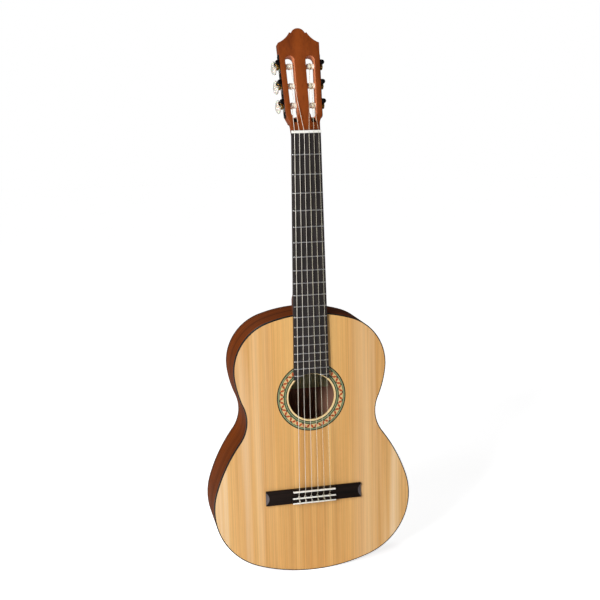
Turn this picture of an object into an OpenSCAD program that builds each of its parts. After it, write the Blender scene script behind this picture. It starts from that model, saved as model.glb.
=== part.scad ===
// Full-size classical guitar with a slotted head.
// It is upright with its soundboard facing -Y. +X is the treble side and +Z points to the head.
// Inside the modules the soundboard's face is y = 0 and the lowest point of the body is z = 0.

/* [Body outline] */
// Length of the body
body_len = 492; // [488:1:496]
// Radius of the arc across the neck end
end_r = 250; // [240:1:260]
// Distance of the upper bout circles from the middle
upper_x = 49; // [48:0.5:50]
// Radius of the upper bout circles
upper_r = 93; // [92:0.5:94]
// Angle at which the upper bout turns into its flank
upper_turn = -7; // [-8:0.5:-6]
// Radius of the upper flank
upper_flank_r = 195; // [190:1:200]
// Distance of the lower bout circles from the middle
lower_x = 64; // [62:0.5:66]
// Radius of the lower bout circles
lower_r = 122.3; // [120:0.1:124]
// Angle at which the lower flank turns into the lower bout
lower_turn = 17.5; // [16:0.5:19]
// Radius of the lower flank
lower_flank_r = 303; // [295:1:310]
// Radius of the arc across the tail
tail_r = 311; // [300:1:320]
// Radius of the waist
waist_r = 67; // [64:1:70]

/* [Body depth] */
// Depth of the body at the neck
depth_neck = 92; // [90:1:94]
// Depth of the body at the tail
depth_tail = 104; // [102:1:106]
// Thickness of the soundboard
top_t = 2.6; // [2.2:0.1:3]
// Thickness of the back
back_t = 2.8; // [2.4:0.1:3.2]
// Thickness of the sides, and width of the bindings
side_t = 3; // [2.5:0.1:3.2]
// Depth of the bindings
bind_h = 5; // [4:0.5:6]

/* [Scale] */
// Scale length, from the nut to the twelfth fret and back again
scale_len = 650; // [648:1:652]
// Height of the nut's string edge above the tail
nut_z = 812.3; // [811.3:0.5:814.3]
// Number of frets
fret_count = 19; // [18:1:19]
// Fingerboard width at the nut
nut_w = 52; // [50:0.5:53]
// Fingerboard width at the twelfth fret
fret12_w = 62; // [60:0.5:63]
// Distance between the outer strings at the nut
nut_span = 43; // [41:0.5:44]
// Distance between the outer strings at the saddle
saddle_span = 58.5; // [57:0.5:60]

/* [Soundhole] */
// Radius of the soundhole
hole_r = 43; // [42:0.5:44]
// Height of its centre above the tail
hole_z = 337; // [336:0.5:339]
// Outer radius of the rosette
rosette_r = 64.5; // [63.5:0.5:65.5]

/* [Bridge] */
// Length of the bridge, across the body
bridge_w = 181; // [178:1:186]
// Size of the bridge along the strings
bridge_h = 28; // [27:0.5:29]
// Length of the saddle and of the tie block
saddle_w = 82; // [80:1:84]

/* [Head] */
// Angle by which the head leans back
head_tilt = 15; // [14:0.5:16]
// Length of the head from the nut to its tip
head_len = 182.5; // [180:0.5:185]
// Width of the head at the middle rollers
head_w = 68.6; // [67.6:0.5:70.1]
// Angle by which each side of the head opens towards the tip
side_angle = 2; // [1.5:0.25:2.5]
// Thickness of the head
head_t = 20; // [19:0.5:21]
// Distance between neighbouring rollers
roller_pitch = 35; // [35:1:35]

/* [Hidden] */
$fn = 64;
far = 600;          // longer than anything that it cuts
arc_step = 3;       // degrees between points of the outline
running_gap = 0.05; // radial clearance of a turning shaft

// --- Outline: tangent arcs, from the middle of the neck end clockwise to the middle of the tail ---
function polar(angle, r) = [r * cos(angle), r * sin(angle)];
function heading(v) = atan2(v.y, v.x);
// Crossing of two circles, on the right of the line from the first to the second
function circle_cross(c1, r1, c2, r2) =
    let (d = norm(c2 - c1), along = (d * d + r1 * r1 - r2 * r2) / (2 * d),
         u = (c2 - c1) / d, side = sqrt(r1 * r1 - along * along))
    c1 + along * u + side * [u.y, -u.x];
end_c = [0, body_len - end_r];
tail_c = [0, tail_r];
upper_c = [upper_x, end_c.y + sqrt(pow(end_r - upper_r, 2) - upper_x * upper_x)];
lower_c = [lower_x, tail_r - sqrt(pow(tail_r - lower_r, 2) - lower_x * lower_x)];
upper_flank_c = upper_c - polar(upper_turn, upper_flank_r - upper_r);
lower_flank_c = lower_c - polar(lower_turn, lower_flank_r - lower_r);
waist_c = circle_cross(lower_flank_c, waist_r + lower_flank_r, upper_flank_c, waist_r + upper_flank_r);

function arc(c, r, from, to) =
    let (steps = max(2, ceil(abs(to - from) / arc_step)))
    [for (i = [0 : steps - 1]) c + polar(from + (to - from) * i / steps, r)];
// Right half of the outline, moved inwards by `in`
function half_outline(in) =
    let (end_turn = heading(upper_c - end_c), waist_from = heading(waist_c - upper_flank_c),
         waist_to = heading(waist_c - lower_flank_c), tail_turn = heading(lower_c - tail_c))
    concat(arc(end_c, end_r - in, 90, end_turn),
           arc(upper_c, upper_r - in, end_turn, upper_turn),
           arc(upper_flank_c, upper_flank_r - in, upper_turn, waist_from),
           arc(waist_c, waist_r + in, waist_from + 180, waist_to + 180),
           arc(lower_flank_c, lower_flank_r - in, waist_to, lower_turn),
           arc(lower_c, lower_r - in, lower_turn, tail_turn),
           arc(tail_c, tail_r - in, tail_turn, -90),
           [[0, in]]);
function outline(in) =
    let (right = half_outline(in), last = len(right) - 1)
    concat(right, [for (i = [last - 1 : -1 : 1]) [-right[i].x, right[i].y]]);

// --- Frames ---
back_tilt = atan((depth_tail - depth_neck) / body_len);
back_y = depth_tail;
nut_t = 4.8;
head_y = -1;                   // face of the head just above the nut
head_z = nut_z + nut_t + 0.35;
front_y = -13.15;              // front of the sixth string at the saddle
middle_y = (front_y + back_y) / 2;
function head_point(p) = [p.x, head_y + p.y * cos(head_tilt) + p.z * sin(head_tilt),
                          head_z - p.y * sin(head_tilt) + p.z * cos(head_tilt)];
// Everything is drawn from the soundboard's face and then centred front to back
module placed() { translate([0, -middle_y, 0]) children(); }
// y = 0 is the outside of the back, which leans in towards the neck
module back_frame() { translate([0, back_y, 0]) rotate([back_tilt, 0, 0]) children(); }
// y is the depth behind the head's face and z runs from the nut to the tip
module head_frame() { translate([0, head_y, head_z]) rotate([-head_tilt, 0, 0]) children(); }
// Leans with one side of the head, so that x stays square to its machine plate
module side_frame(sign) {
    translate([sign * head_half, 0, side_ref_s]) rotate([0, sign * side_angle, 0])
        translate([-sign * head_half, 0, -side_ref_s]) children();
}
// Draws for the treble side, or mirrored for the bass side
module on_side(sign) { mirror([sign > 0 ? 0 : 1, 0, 0]) children(); }
// Extrudes an x, z outline from y = from to y = to
module slab(from, to) { translate([0, to, 0]) rotate([90, 0, 0]) linear_extrude(to - from) children(); }
module box(low, high) { translate(low) cube(high - low); }
module disc_y(r, from, to) { translate([0, to, 0]) rotate([90, 0, 0]) cylinder(h = to - from, r = r); }
module disc_x(r, from, to) { translate([from, 0, 0]) rotate([0, 90, 0]) cylinder(h = to - from, r = r); }
// Closed skin over rings that all have the same number of points
module skin(rings) {
    m = len(rings[0]);
    n = len(rings);
    points = [for (ring = rings) each ring];
    walls = [for (i = [0 : n - 2], j = [0 : m - 1])
        [i * m + j, (i + 1) * m + j, (i + 1) * m + (j + 1) % m, i * m + (j + 1) % m]];
    caps = [[for (j = [0 : m - 1]) j], [for (j = [m - 1 : -1 : 0]) (n - 1) * m + j]];
    polyhedron(points, concat(walls, caps));
}

// --- Body ---
module prism(in, from = 0, to = depth_tail + 20) { slab(from, to) polygon(outline(in)); }
module wall(out, in, from = 0, to = depth_tail + 20) {
    slab(from, to) difference() { polygon(outline(out)); polygon(outline(in)); }
}
// What lies between two depths measured forwards from the outside of the back
module back_layer(from, to) { back_frame() box([-far, -to, -far], [far, -from, 2 * far]); }

lining_w = 6;
lining_h = 14;
lining_in = side_t + lining_w;
rosette_depth = 1;
hole_cream_r = 46.5;

module soundboard() {
    color([0.83, 0.56, 0.25]) placed() difference() {
        prism(side_t, 0, top_t);
        translate([0, 0, hole_z]) disc_y(hole_r, -1, top_t + 1);
        translate([0, 0, hole_z]) difference() {
            disc_y(rosette_r, -1, rosette_depth);
            disc_y(hole_cream_r, -2, rosette_depth + 1);
        }
    }
}

module back() {
    color([0.36, 0.16, 0.08]) placed() intersection() { prism(side_t); back_layer(0, back_t); }
}

// One half of the sides: sign is -1 for bass and 1 for treble
module side(sign) {
    color([0.38, 0.17, 0.09]) placed() difference() {
        wall(0, side_t, bind_h);
        back_layer(-far, bind_h);
        box([sign > 0 ? -far : 0, -1, -1], [sign > 0 ? 0 : far, 2 * far, 2 * far]);
    }
}
module side_bass() { side(-1); }
module side_treble() { side(1); }

module top_binding() { color([0.04, 0.03, 0.03]) placed() wall(0, side_t, 0, bind_h); }
module back_binding() {
    color([0.04, 0.03, 0.03]) placed() intersection() { wall(0, side_t); back_layer(0, bind_h); }
}

// --- Inside the body ---
block_w = 90;
neck_block_h = 62;
tail_block_w = 80;
tail_block_h = 22;
module neck_block_space() {
    box([-block_w / 2, top_t, body_len - neck_block_h], [block_w / 2, depth_tail, body_len]);
}
module tail_block_space() {
    box([-tail_block_w / 2, top_t, 0], [tail_block_w / 2, depth_tail, tail_block_h]);
}
module inside() { intersection() { prism(side_t); difference() { children(); back_layer(-far, back_t); } } }
module neck_block() { color([0.62, 0.42, 0.24]) placed() inside() neck_block_space(); }
module tail_block() { color([0.62, 0.42, 0.24]) placed() inside() tail_block_space(); }
module top_linings() {
    color([0.75, 0.58, 0.36]) placed() difference() {
        wall(side_t, lining_in, top_t, top_t + lining_h);
        neck_block_space();
        tail_block_space();
    }
}
module back_linings() {
    color([0.75, 0.58, 0.36]) placed() difference() {
        intersection() { wall(side_t, lining_in); back_layer(back_t, back_t + lining_h); }
        neck_block_space();
        tail_block_space();
    }
}

bar_w = 8;
bar_h = 13;
top_bar_zs = [284, 397];
back_bar_zs = [105, 250, 415];
fan_w = 5;
fan_h = 5;
fan_step = 8;        // degrees between neighbouring fan braces
fan_apex_z = 500;
fan_from = 222;      // distances from the apex
fan_to = 440;
patch_t = 2;
patch_side = 3;      // the patch is this much larger than the bridge all round
module cross_bar(z, low, high) { box([-far, low, z - bar_w / 2], [far, high, z + bar_w / 2]); }
module top_bars() {
    color([0.82, 0.66, 0.42]) placed() intersection() {
        prism(lining_in);
        union() { for (z = top_bar_zs) cross_bar(z, top_t, top_t + bar_h); }
    }
}
module patch() {
    box([-bridge_w / 2 - patch_side, top_t, bridge_z - patch_side],
        [bridge_w / 2 + patch_side, top_t + patch_t, bridge_z + bridge_h + patch_side]);
}
module bridge_patch() { color([0.7, 0.52, 0.32]) placed() patch(); }
module fan_braces() {
    color([0.82, 0.66, 0.42]) placed() difference() {
        intersection() {
            prism(lining_in + 3);
            box([-far, 0, 0], [far, 2 * top_t + fan_h, top_bar_zs[0] - bar_w / 2]);
            union() {
                for (k = [-3 : 3])
                    translate([0, 0, fan_apex_z]) rotate([0, k * fan_step, 0])
                        box([-fan_w / 2, top_t, -fan_to], [fan_w / 2, top_t + fan_h, -fan_from]);
            }
        }
        patch();
    }
}
module back_bars() {
    color([0.82, 0.66, 0.42]) placed() intersection() {
        prism(lining_in);
        back_layer(back_t, back_t + bar_h);
        union() { for (z = back_bar_zs) cross_bar(z, top_t + lining_h, depth_tail); }
    }
}
label_w = 110;
label_h = 68;
label_t = 0.3;
module label() {
    color([0.93, 0.9, 0.8]) placed() intersection() {
        box([-label_w / 2, 0, hole_z - 9], [label_w / 2, depth_tail, hole_z - 9 + label_h]);
        back_layer(back_t, back_t + label_t);
    }
}

// --- Rosette ---
mosaic_in = 52;
mosaic_out = 59.5;
module ring_inlay(inner, outer) {
    translate([0, 0, hole_z]) difference() {
        disc_y(outer, 0, rosette_depth);
        disc_y(inner, -1, rosette_depth + 1);
    }
}
module rosette_mosaic() { color([0.85, 0.7, 0.45]) placed() ring_inlay(mosaic_in, mosaic_out); }
module rosette_rings() {
    color([0.2, 0.35, 0.2]) placed() {
        ring_inlay(hole_cream_r, mosaic_in);
        ring_inlay(mosaic_out, rosette_r);
    }
}

// --- Neck ---
board_t = 6.3;        // fingerboard thickness
board_end_z = 371;
neck_depth_nut = 21;
neck_depth_heel = 23.5;
heel_depth = 112;     // deeper than the body, then cut off flat at the heel cap
heel_flat = 18;       // length of the heel at its cap
heel_curve = 60;      // length of the curve from the heel's cap to the neck
heel_pinch = 0.42;
heel_cap_t = 2.5;
scarf_s = 14;         // where the head's full thickness begins
tongue_t = 6;         // thickness of the head's tongue below that
function board_w(z) = nut_w + (fret12_w - nut_w) * (nut_z - z) / (scale_len / 2);
// Rounded section of the neck at one height, from its treble edge round the back to its bass edge
function neck_ring(z, depth, sides = 20) = [for (j = [0 : sides])
    let (t = 180 * j / sides, y = depth * sin(t))
    [board_w(z) / 2 * cos(t) * (1 - heel_pinch * min(1, y / heel_depth)), y, z]];
// Nearly square section at the foot of the head, with the same number of points
function throat_ring(s_pos, squareness, sides = 20) = [for (j = [0 : sides])
    let (t = 180 * j / sides, c = cos(t))
    head_point([throat_w / 2 * sign(c) * pow(abs(c), squareness), head_t * pow(sin(t), squareness), s_pos])];
throat_w = 53.6;
heel_z = body_len + heel_flat;
module neck_blank() {
    shaft_top = head_z - 10;
    shaft_z = heel_z + heel_curve;
    skin(concat(
        [for (z = [body_len - 12, heel_z]) neck_ring(z, heel_depth)],
        [for (a = [8 : 8 : 88]) neck_ring(heel_z + heel_curve * (1 - cos(a)),
            neck_depth_heel + (heel_depth - neck_depth_heel) * (1 - sin(a)))],
        [for (z = [shaft_z, shaft_top]) neck_ring(z, neck_depth_heel
            + (neck_depth_nut - neck_depth_heel) * (z - shaft_z) / (shaft_top - shaft_z))],
        [throat_ring(scarf_s / 2, 0.6), throat_ring(scarf_s, 0.3)]));
}
module neck() {
    color([0.42, 0.19, 0.09]) placed() difference() {
        neck_blank();
        translate([0, 0, end_c.y]) disc_y(end_r, -1, far);
        back_layer(-far, heel_cap_t);
        head_frame() box([-far, -50, 0], [far, tongue_t, far]);
    }
}
module heel_cap() {
    color([0.05, 0.04, 0.04]) placed() difference() {
        intersection() { neck_blank(); back_layer(0, heel_cap_t); }
        translate([0, 0, end_c.y]) disc_y(end_r, -1, far);
    }
}

// --- Fingerboard, frets and nut ---
fret_w = 2.2;
fret_h = 1;
tang_w = 0.6;
tang_h = 2;
board_hole_r = hole_r + 2;
function fret_z(n) = nut_z - scale_len * (1 - pow(2, -n / 12));
module board_cut() { translate([0, 0, hole_z]) disc_y(board_hole_r, -20, 1); }
fret_inset = 0.4;       // from each end of a fret to the edge of the board
module fret(n) {
    z = fret_z(n);
    half = board_w(z) / 2 - fret_inset;
    box([-half, -board_t, z - tang_w / 2], [half, -board_t + tang_h, z + tang_w / 2]);
}
module fret_crown(n) {
    z = fret_z(n);
    half = board_w(z) / 2 - fret_inset;
    crown_r = (pow(fret_w / 2, 2) + fret_h * fret_h) / (2 * fret_h);
    intersection() {
        translate([0, -board_t - fret_h + crown_r, z]) disc_x(crown_r, -half, half);
        box([-half, -board_t - 5, z - 5], [half, -board_t, z + 5]);
    }
}
module fingerboard() {
    color([0.06, 0.045, 0.04]) placed() difference() {
        slab(-board_t, 0) polygon([[nut_w / 2, nut_z], [-nut_w / 2, nut_z],
            [-board_w(board_end_z) / 2, board_end_z], [board_w(board_end_z) / 2, board_end_z]]);
        board_cut();
        for (n = [1 : fret_count]) fret(n);
    }
}
module frets() {
    color([0.75, 0.75, 0.77]) placed() difference() {
        for (n = [1 : fret_count]) { fret(n); fret_crown(n); }
        board_cut();
    }
}
nut_top = 8.8;
module nut() {
    color([0.95, 0.94, 0.9]) placed() difference() {
        box([-nut_w / 2, -nut_top, nut_z], [nut_w / 2, 0, nut_z + nut_t]);
        for (n = [1 : 6]) translate([string_x(n, nut_z), nut_string_y, nut_z + nut_t / 2]) {
            string_notch(n, -nut_t, 0, 0);
            string_notch(n, 0, nut_t, 1.4);
        }
    }
}

// --- Bridge ---
compensation = 2.3;    // the saddle sits this much beyond the scale length
saddle_z = nut_z - scale_len - compensation;
saddle_t = 2.6;
saddle_top = 12.6;
saddle_foot = 4;
bridge_z = saddle_z + 4 - bridge_h;    // tail edge of the bridge
wing_t = 4.2;
block_top = 8.5;       // height of the ridge and of the tie block
ridge_h = 7;           // size of the saddle ridge along the strings
tie_h = 12;            // size of the tie block along the strings
tie_z = bridge_z;
scoop_r = 31;          // hollow that thins the end of each wing
scoop_rise = 27.5;
scoop_out = 8.5;
cap_w = 2.6;
cap_t = 1.4;
string_hole_r = 0.9;
string_hole_y = 4.6;
module bridge() {
    top_z = bridge_z + bridge_h;
    half = bridge_w / 2;
    color([0.07, 0.045, 0.035]) placed() difference() {
        union() {
            box([-half, -wing_t, bridge_z], [half, 0, top_z]);
            box([-saddle_w / 2, -block_top, top_z - ridge_h], [saddle_w / 2, 0, top_z]);
            box([-saddle_w / 2, -block_top, tie_z], [saddle_w / 2, 0, tie_z + tie_h]);
        }
        // Seat of the saddle
        box([-saddle_w / 2 - 1, -saddle_top, saddle_z - saddle_t / 2],
            [saddle_w / 2 + 1, -saddle_foot, saddle_z + saddle_t / 2]);
        // Seats of the two caps
        for (z = [tie_z, tie_z + tie_h - cap_w])
            box([-saddle_w / 2 - 1, -block_top - 1, z - 0.01],
                [saddle_w / 2 + 1, -block_top + cap_t, z + cap_w + 0.01]);
        // The wings are hollowed at their ends
        for (sign = [-1, 1])
            translate([sign * (half + scoop_out), -wing_t - scoop_rise, bridge_z + bridge_h / 2])
                sphere(scoop_r);
        for (n = [1 : 6]) translate([string_x(n, saddle_z), -string_hole_y, tie_z - 1])
            cylinder(h = tie_h + 2, r = string_hole_r);
    }
}
module saddle() {
    color([0.95, 0.94, 0.9]) placed() difference() {
        box([-saddle_w / 2 + 1, -saddle_top, saddle_z - saddle_t / 2],
            [saddle_w / 2 - 1, -saddle_foot, saddle_z + saddle_t / 2]);
        for (n = [1 : 6]) translate([string_x(n, saddle_z), saddle_string_y, saddle_z]) {
            string_notch(n, 0, saddle_t, 0);
            string_notch(n, -saddle_t, 0, 1.2);
        }
    }
}
module tie_block_caps() {
    color([0.93, 0.92, 0.87]) placed() for (z = [tie_z, tie_z + tie_h - cap_w])
        box([-saddle_w / 2, -block_top - 0.1, z], [saddle_w / 2, -block_top + cap_t, z + cap_w]);
}

// --- Machine heads: place and size of each part, in the head's frame ---
roller_s = 45.5;       // height of the rollers nearest to the nut
roller_y = 10;         // depth of their axes behind the face
roller_r = 5;
core_r = 2.5;
slot_in = 10;
slot_bottom = 24.5;
slot_top = 133;
plate_t = 1.2;
plate_w = 14;
plate_from = 24;
plate_to = 138;
head_half = head_w / 2;
side_ref_s = 80.5;     // height at which the head is head_w wide
slot_wall = 9.4;       // wood left between a slot and the side of the head
slot_out = head_half - slot_wall;
plate_x = head_half + plate_t;
teeth = 14;
bearing_x = 5.5;        // bottom of each core's bearing in the middle of the head
sleeve_in = slot_in + 1.9;
gear_pitch_r = 4.9;
worm_pitch_r = 2.2;
lead = 2 * PI * gear_pitch_r / teeth;
gear_t = 2.6;
worm_x = plate_x + 3.1;
worm_up = gear_pitch_r + worm_pitch_r;   // the worm lies this far above its gear
worm_shaft_r = 1.3;
ear_t = 2.4;
ear_half = 4.2;
ear_ys = [2.6, roller_y + 5.1];          // front face of each pair of ears
worm_cap_r = 3.9;
worm_cap_t = 1.2;
button_y = 26;
button_len = 22;
button_t = 8.4;
button_r = 12.5;
// Radius of a button before its two faces are flattened, and the distance along it
button_profile = [[0, 0], [2.6, 0], [3, 2], [7.8, 4.2], [11.4, 8.5],
                  [button_r, 12], [10.6, 17], [6, 21], [0, button_len]];
function side_of(n) = n <= 3 ? 1 : -1;
function rank_of(n) = n <= 3 ? n - 1 : 6 - n;
function roller_z(n) = roller_s + rank_of(n) * roller_pitch;
// Where the string winds on its roller
function wrap_x(n) = side_of(n) * [20, 18.5, 17.5][rank_of(n)];

// --- Strings ---
string_d = [0.7, 0.82, 1.02, 0.76, 0.9, 1.1];
string_gap = 0.06;
nut_string_y = -8.3;
saddle_string_y = -12.6;
wrap_t = 0.9;
wrap_w = 4.4;
function string_slot(n, span) = span / 2 - (n - 1) * span / 5;
function string_x(n, z) = let (k = (nut_z - z) / scale_len)
    string_slot(n, nut_span) * (1 - k) + string_slot(n, saddle_span) * k;
// Corners of one string, from its roller to the end of its loop on the tie block
function string_points(n) =
    let (r = string_d[n - 1] / 2, x = string_x(n, saddle_z), loop = r + 0.2)
    [head_point([wrap_x(n), roller_y - roller_r - wrap_t - 0.3 - r, roller_z(n)]),
     [string_x(n, nut_z), nut_string_y, nut_z + nut_t / 2],
     [x, saddle_string_y, saddle_z],
     [x, -string_hole_y, tie_z + tie_h + 1],
     [x, -string_hole_y, tie_z - loop],
     [x, -block_top - loop, tie_z - loop],
     [x, -block_top - loop, tie_z + tie_h + loop]];
// Ring of a swept tube at one corner of its path, in the plane that halves the bend
function tube_ring(points, i, r, sides) =
    let (last = len(points) - 1, p = points[i],
         before = i == 0 ? points[1] - p : p - points[i - 1],
         after = i == last ? p - points[last - 1] : points[i + 1] - p,
         a = before / norm(before), b = after / norm(after),
         t = (a + b) / norm(a + b), v0 = cross(t, [1, 0, 0]), v = v0 / norm(v0), u = cross(v, t),
         mitre = 1 / max(0.6, a * t))
    [for (k = [0 : sides - 1]) p + r * (cos(360 * k / sides) * u + sin(360 * k / sides) * v * mitre)];
module tube(points, r, sides = 10) {
    skin([for (i = [0 : len(points) - 1]) tube_ring(points, i, r, sides)]);
}
module guitar_string(n) {
    color(n > 3 ? [0.72, 0.7, 0.66] : [0.85, 0.83, 0.78]) placed()
        tube(string_points(n), string_d[n - 1] / 2);
}
// Square notch for one string, open to the front and deepened by `deeper`
module string_notch(n, from, to, deeper) {
    r = string_d[n - 1] / 2 + string_gap;
    box([-r, -5, from], [r, r + deeper, to]);
}

module string_1() { guitar_string(1); }
module string_2() { guitar_string(2); }
module string_3() { guitar_string(3); }
module string_4() { guitar_string(4); }
module string_5() { guitar_string(5); }
module string_6() { guitar_string(6); }

// --- Headstock ---
lobe_x = 12.6;         // half width of the tip's lobe
lobe_s = 174;
horn_x = 15.7;         // inner end of each concave shoulder
horn_s = 175;
corner_s = 156.6;
flare_from = 11;
flare_mid = [29.4, 20];
flare_to = 29;
// Arc of the given radius from a to b, bulging to the right of a to b when r > 0
function arc_between(a, b, r) =
    let (d = norm(b - a), u = (b - a) / d, m = (a + b) / 2, h = sqrt(r * r - d * d / 4),
         c = m - sign(r) * h * [u.y, -u.x], from = heading(a - c),
         turn = 2 * sign(r) * asin(d / (2 * abs(r))), steps = 10)
    [for (i = [0 : steps]) c + polar(from + turn * i / steps, abs(r))];
// Half width of the head at one height
function head_side(s_pos) = head_half + (s_pos - side_ref_s) * tan(side_angle);
function head_half_outline() = concat(
    [[throat_w / 2 - 0.4, 0]],
    arc_between([throat_w / 2, flare_from], flare_mid, -16),
    arc_between(flare_mid, [head_side(flare_to), flare_to], 24),
    arc_between([head_side(corner_s), corner_s], [horn_x, horn_s], -42),
    arc_between([lobe_x, lobe_s], [-lobe_x, lobe_s],
        (lobe_x * lobe_x + pow(head_len - lobe_s, 2)) / (2 * (head_len - lobe_s))));
// Right-hand slot: straight inside, parallel to the head's side outside, round at both ends
function slot_outline() =
    let (low = slot_bottom + 7, high = slot_top - 8,
         out_low = head_side(low) - slot_wall, out_high = head_side(high) - slot_wall,
         r_low = (out_low - slot_in) / 2, r_high = (out_high - slot_in) / 2, steps = 12)
    concat([for (i = [0 : steps]) [out_low - r_low, low] + polar(180 + 180 * i / steps, r_low)],
           [for (i = [0 : steps]) [out_high - r_high, high] + polar(180 * i / steps, r_high)]);
ramp_w = 9.4;
ramp_angle = 40;
ramp_from = 13.5;      // where the ramp starts in the head's face
ramp_len = 25;
module slot_cut() {
    slab(-1, head_t + 1) polygon(slot_outline());
    // Ramp that lets the strings down into the slot
    translate([slot_in + 1.6, 0, ramp_from]) rotate([-ramp_angle, 0, 0]) translate([0, -ramp_len, 0])
        cube([ramp_w, ramp_len, ramp_len]);
}
function mirrored(points) = [for (i = [len(points) - 1 : -1 : 0]) [-points[i].x, points[i].y]];
screw_ss = [31, 65.3, 100.3, 132];
screw_r = 1.2;
screw_len = 7;
module headstock() {
    right = head_half_outline();
    color([0.55, 0.28, 0.12]) placed() head_frame() difference() {
        slab(0, head_t) polygon(concat(right, mirrored([for (i = [0 : len(right) - 12]) right[i]])));
        box([-far, tongue_t, -1], [far, far, scarf_s]);
        for (sign = [-1, 1]) on_side(sign) slot_cut();
        for (sign = [-1, 1]) side_frame(sign) on_side(sign) {
            for (k = [0 : 2]) translate([0, roller_y, roller_s + k * roller_pitch])
                disc_x(core_r + running_gap, bearing_x, far);
            for (s = screw_ss) translate([0, roller_y, s]) disc_x(screw_r, head_half - screw_len, far);
        }
    }
}

// --- Machine heads: solids ---
module plate(sign) {
    color([0.08, 0.07, 0.06]) placed() head_frame() side_frame(sign) on_side(sign) difference() {
        box([head_half, roller_y - plate_w / 2, plate_from], [plate_x, roller_y + plate_w / 2, plate_to]);
        for (k = [0 : 2]) translate([0, roller_y, roller_s + k * roller_pitch])
            disc_x(core_r + running_gap, 0, far);
        for (s = screw_ss) translate([0, roller_y, s]) disc_x(screw_r, 0, far);
    }
}
module plate_bass() { plate(-1); }
module plate_treble() { plate(1); }
screw_head_r = 2.4;
screw_head_t = 1.3;
// Screw head on the x axis, with a driver slot half a millimetre deep or more
module slotted_head(x, t) {
    difference() {
        disc_x(screw_head_r, x, x + t);
        box([x + t - 0.6, -far, -0.3], [x + far, far, 0.3]);
    }
}
module plate_screws() {
    color([0.12, 0.11, 0.1]) placed() head_frame()
        for (sign = [-1, 1], s = screw_ss) side_frame(sign) on_side(sign) translate([0, roller_y, s]) {
            disc_x(screw_r, head_half - screw_len, plate_x);
            slotted_head(plate_x, screw_head_t);
        }
}
module worm_saddles() {
    color([0.08, 0.07, 0.06]) placed() head_frame() for (sign = [-1, 1], k = [0 : 2], y = ear_ys)
        side_frame(sign) on_side(sign)
        translate([0, y, roller_s + k * roller_pitch + worm_up]) difference() {
            union() {
                box([plate_x, 0, -ear_half], [worm_x, ear_t, ear_half]);
                translate([worm_x, 0, 0]) disc_y(ear_half, 0, ear_t);
            }
            box([0, -1, -far], [plate_x, ear_t + 1, far]);
            translate([worm_x, 0, 0]) disc_y(worm_shaft_r + running_gap, -1, ear_t + 1);
        }
}

module roller(n) {
    sign = side_of(n);
    color([0.93, 0.9, 0.82]) placed() head_frame() side_frame(sign) on_side(sign)
        translate([0, roller_y, roller_z(n)]) {
        // Steel core, from its bearing in the middle of the head to the gear
        disc_x(core_r, bearing_x + 0.5, worm_x + gear_t / 2);
        // Sleeve
        difference() {
            disc_x(roller_r, sleeve_in, slot_out - 0.4);
            disc_x(core_r, 0, far);
        }
        // Turns of the string
        difference() {
            disc_x(roller_r + wrap_t, abs(wrap_x(n)) - wrap_w / 2, abs(wrap_x(n)) + wrap_w / 2);
            disc_x(roller_r, 0, far);
        }
    }
}
// Corners of one tooth: radius, and degrees from the middle of the tooth
tooth = [[4.1, -9.5], [4.15, -6.9], [5.6, -3.1], [5.6, 3.1], [4.15, 6.9]];
function gear_outline() = [for (k = [0 : teeth - 1], p = tooth)
    polar((k + 0.5) * 360 / teeth + p.y + 90, p.x)];
gear_screw_t = 1.1;
hub_r = 3.6;
module gear(n) {
    color([0.8, 0.62, 0.25]) placed() head_frame() side_frame(side_of(n)) on_side(side_of(n))
        translate([0, roller_y, roller_z(n)]) {
        difference() {
            union() {
                translate([worm_x - gear_t / 2, 0, 0]) rotate([90, 0, 90])
                    linear_extrude(gear_t) polygon(gear_outline());
                disc_x(hub_r, plate_x + 0.2, worm_x);
            }
            disc_x(core_r, 0, far);
        }
        slotted_head(worm_x + gear_t / 2, gear_screw_t);
    }
}
thread_len = 8;
module worm(n) {
    steps_per_turn = 12;
    half_root = 0.62;      // half the thread's thickness at its root and at its tip
    half_tip = 0.24;
    thread_tip = 2.8;      // radii of the tip and of the root, which lies inside the shaft
    thread_root = 1.1;
    // At rest the thread passes the gear's middle plane, on the gear's side, in the middle of a tooth space
    section = [[thread_root, half_root], [thread_tip, half_tip],
               [thread_tip, -half_tip], [thread_root, -half_root]];
    count = floor(thread_len / lead * steps_per_turn / 2);
    color([0.72, 0.6, 0.35]) placed() head_frame() side_frame(side_of(n))
        translate([side_of(n) * worm_x, roller_y, roller_z(n) + worm_up]) {
            disc_y(worm_shaft_r, ear_ys[0] - roller_y - 0.4, button_y + 8 - roller_y);
            disc_y(worm_cap_r, ear_ys[0] - roller_y - 0.1 - worm_cap_t, ear_ys[0] - roller_y - 0.1);
            skin([for (i = [-count : count])
                let (a = 360 * i / steps_per_turn)
                [for (p = section)
                    [-p.x * sin(a), lead * i / steps_per_turn + p.y, -p.x * cos(a)]]]);
        }
}
module button(n) {
    color([0.93, 0.92, 0.86]) placed() head_frame() side_frame(side_of(n))
        translate([side_of(n) * worm_x, button_y, roller_z(n) + worm_up]) difference() {
            intersection() {
                rotate([-90, 0, 0]) rotate_extrude() polygon(button_profile);
                box([-button_t / 2, -1, -button_r], [button_t / 2, button_len + 1, button_r]);
            }
            disc_y(worm_shaft_r, -1, 8);
        }
}
module roller_1() { roller(1); }
module roller_2() { roller(2); }
module roller_3() { roller(3); }
module roller_4() { roller(4); }
module roller_5() { roller(5); }
module roller_6() { roller(6); }
module gear_1() { gear(1); }
module gear_2() { gear(2); }
module gear_3() { gear(3); }
module gear_4() { gear(4); }
module gear_5() { gear(5); }
module gear_6() { gear(6); }
module worm_1() { worm(1); }
module worm_2() { worm(2); }
module worm_3() { worm(3); }
module worm_4() { worm(4); }
module worm_5() { worm(5); }
module worm_6() { worm(6); }
module button_1() { button(1); }
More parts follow.
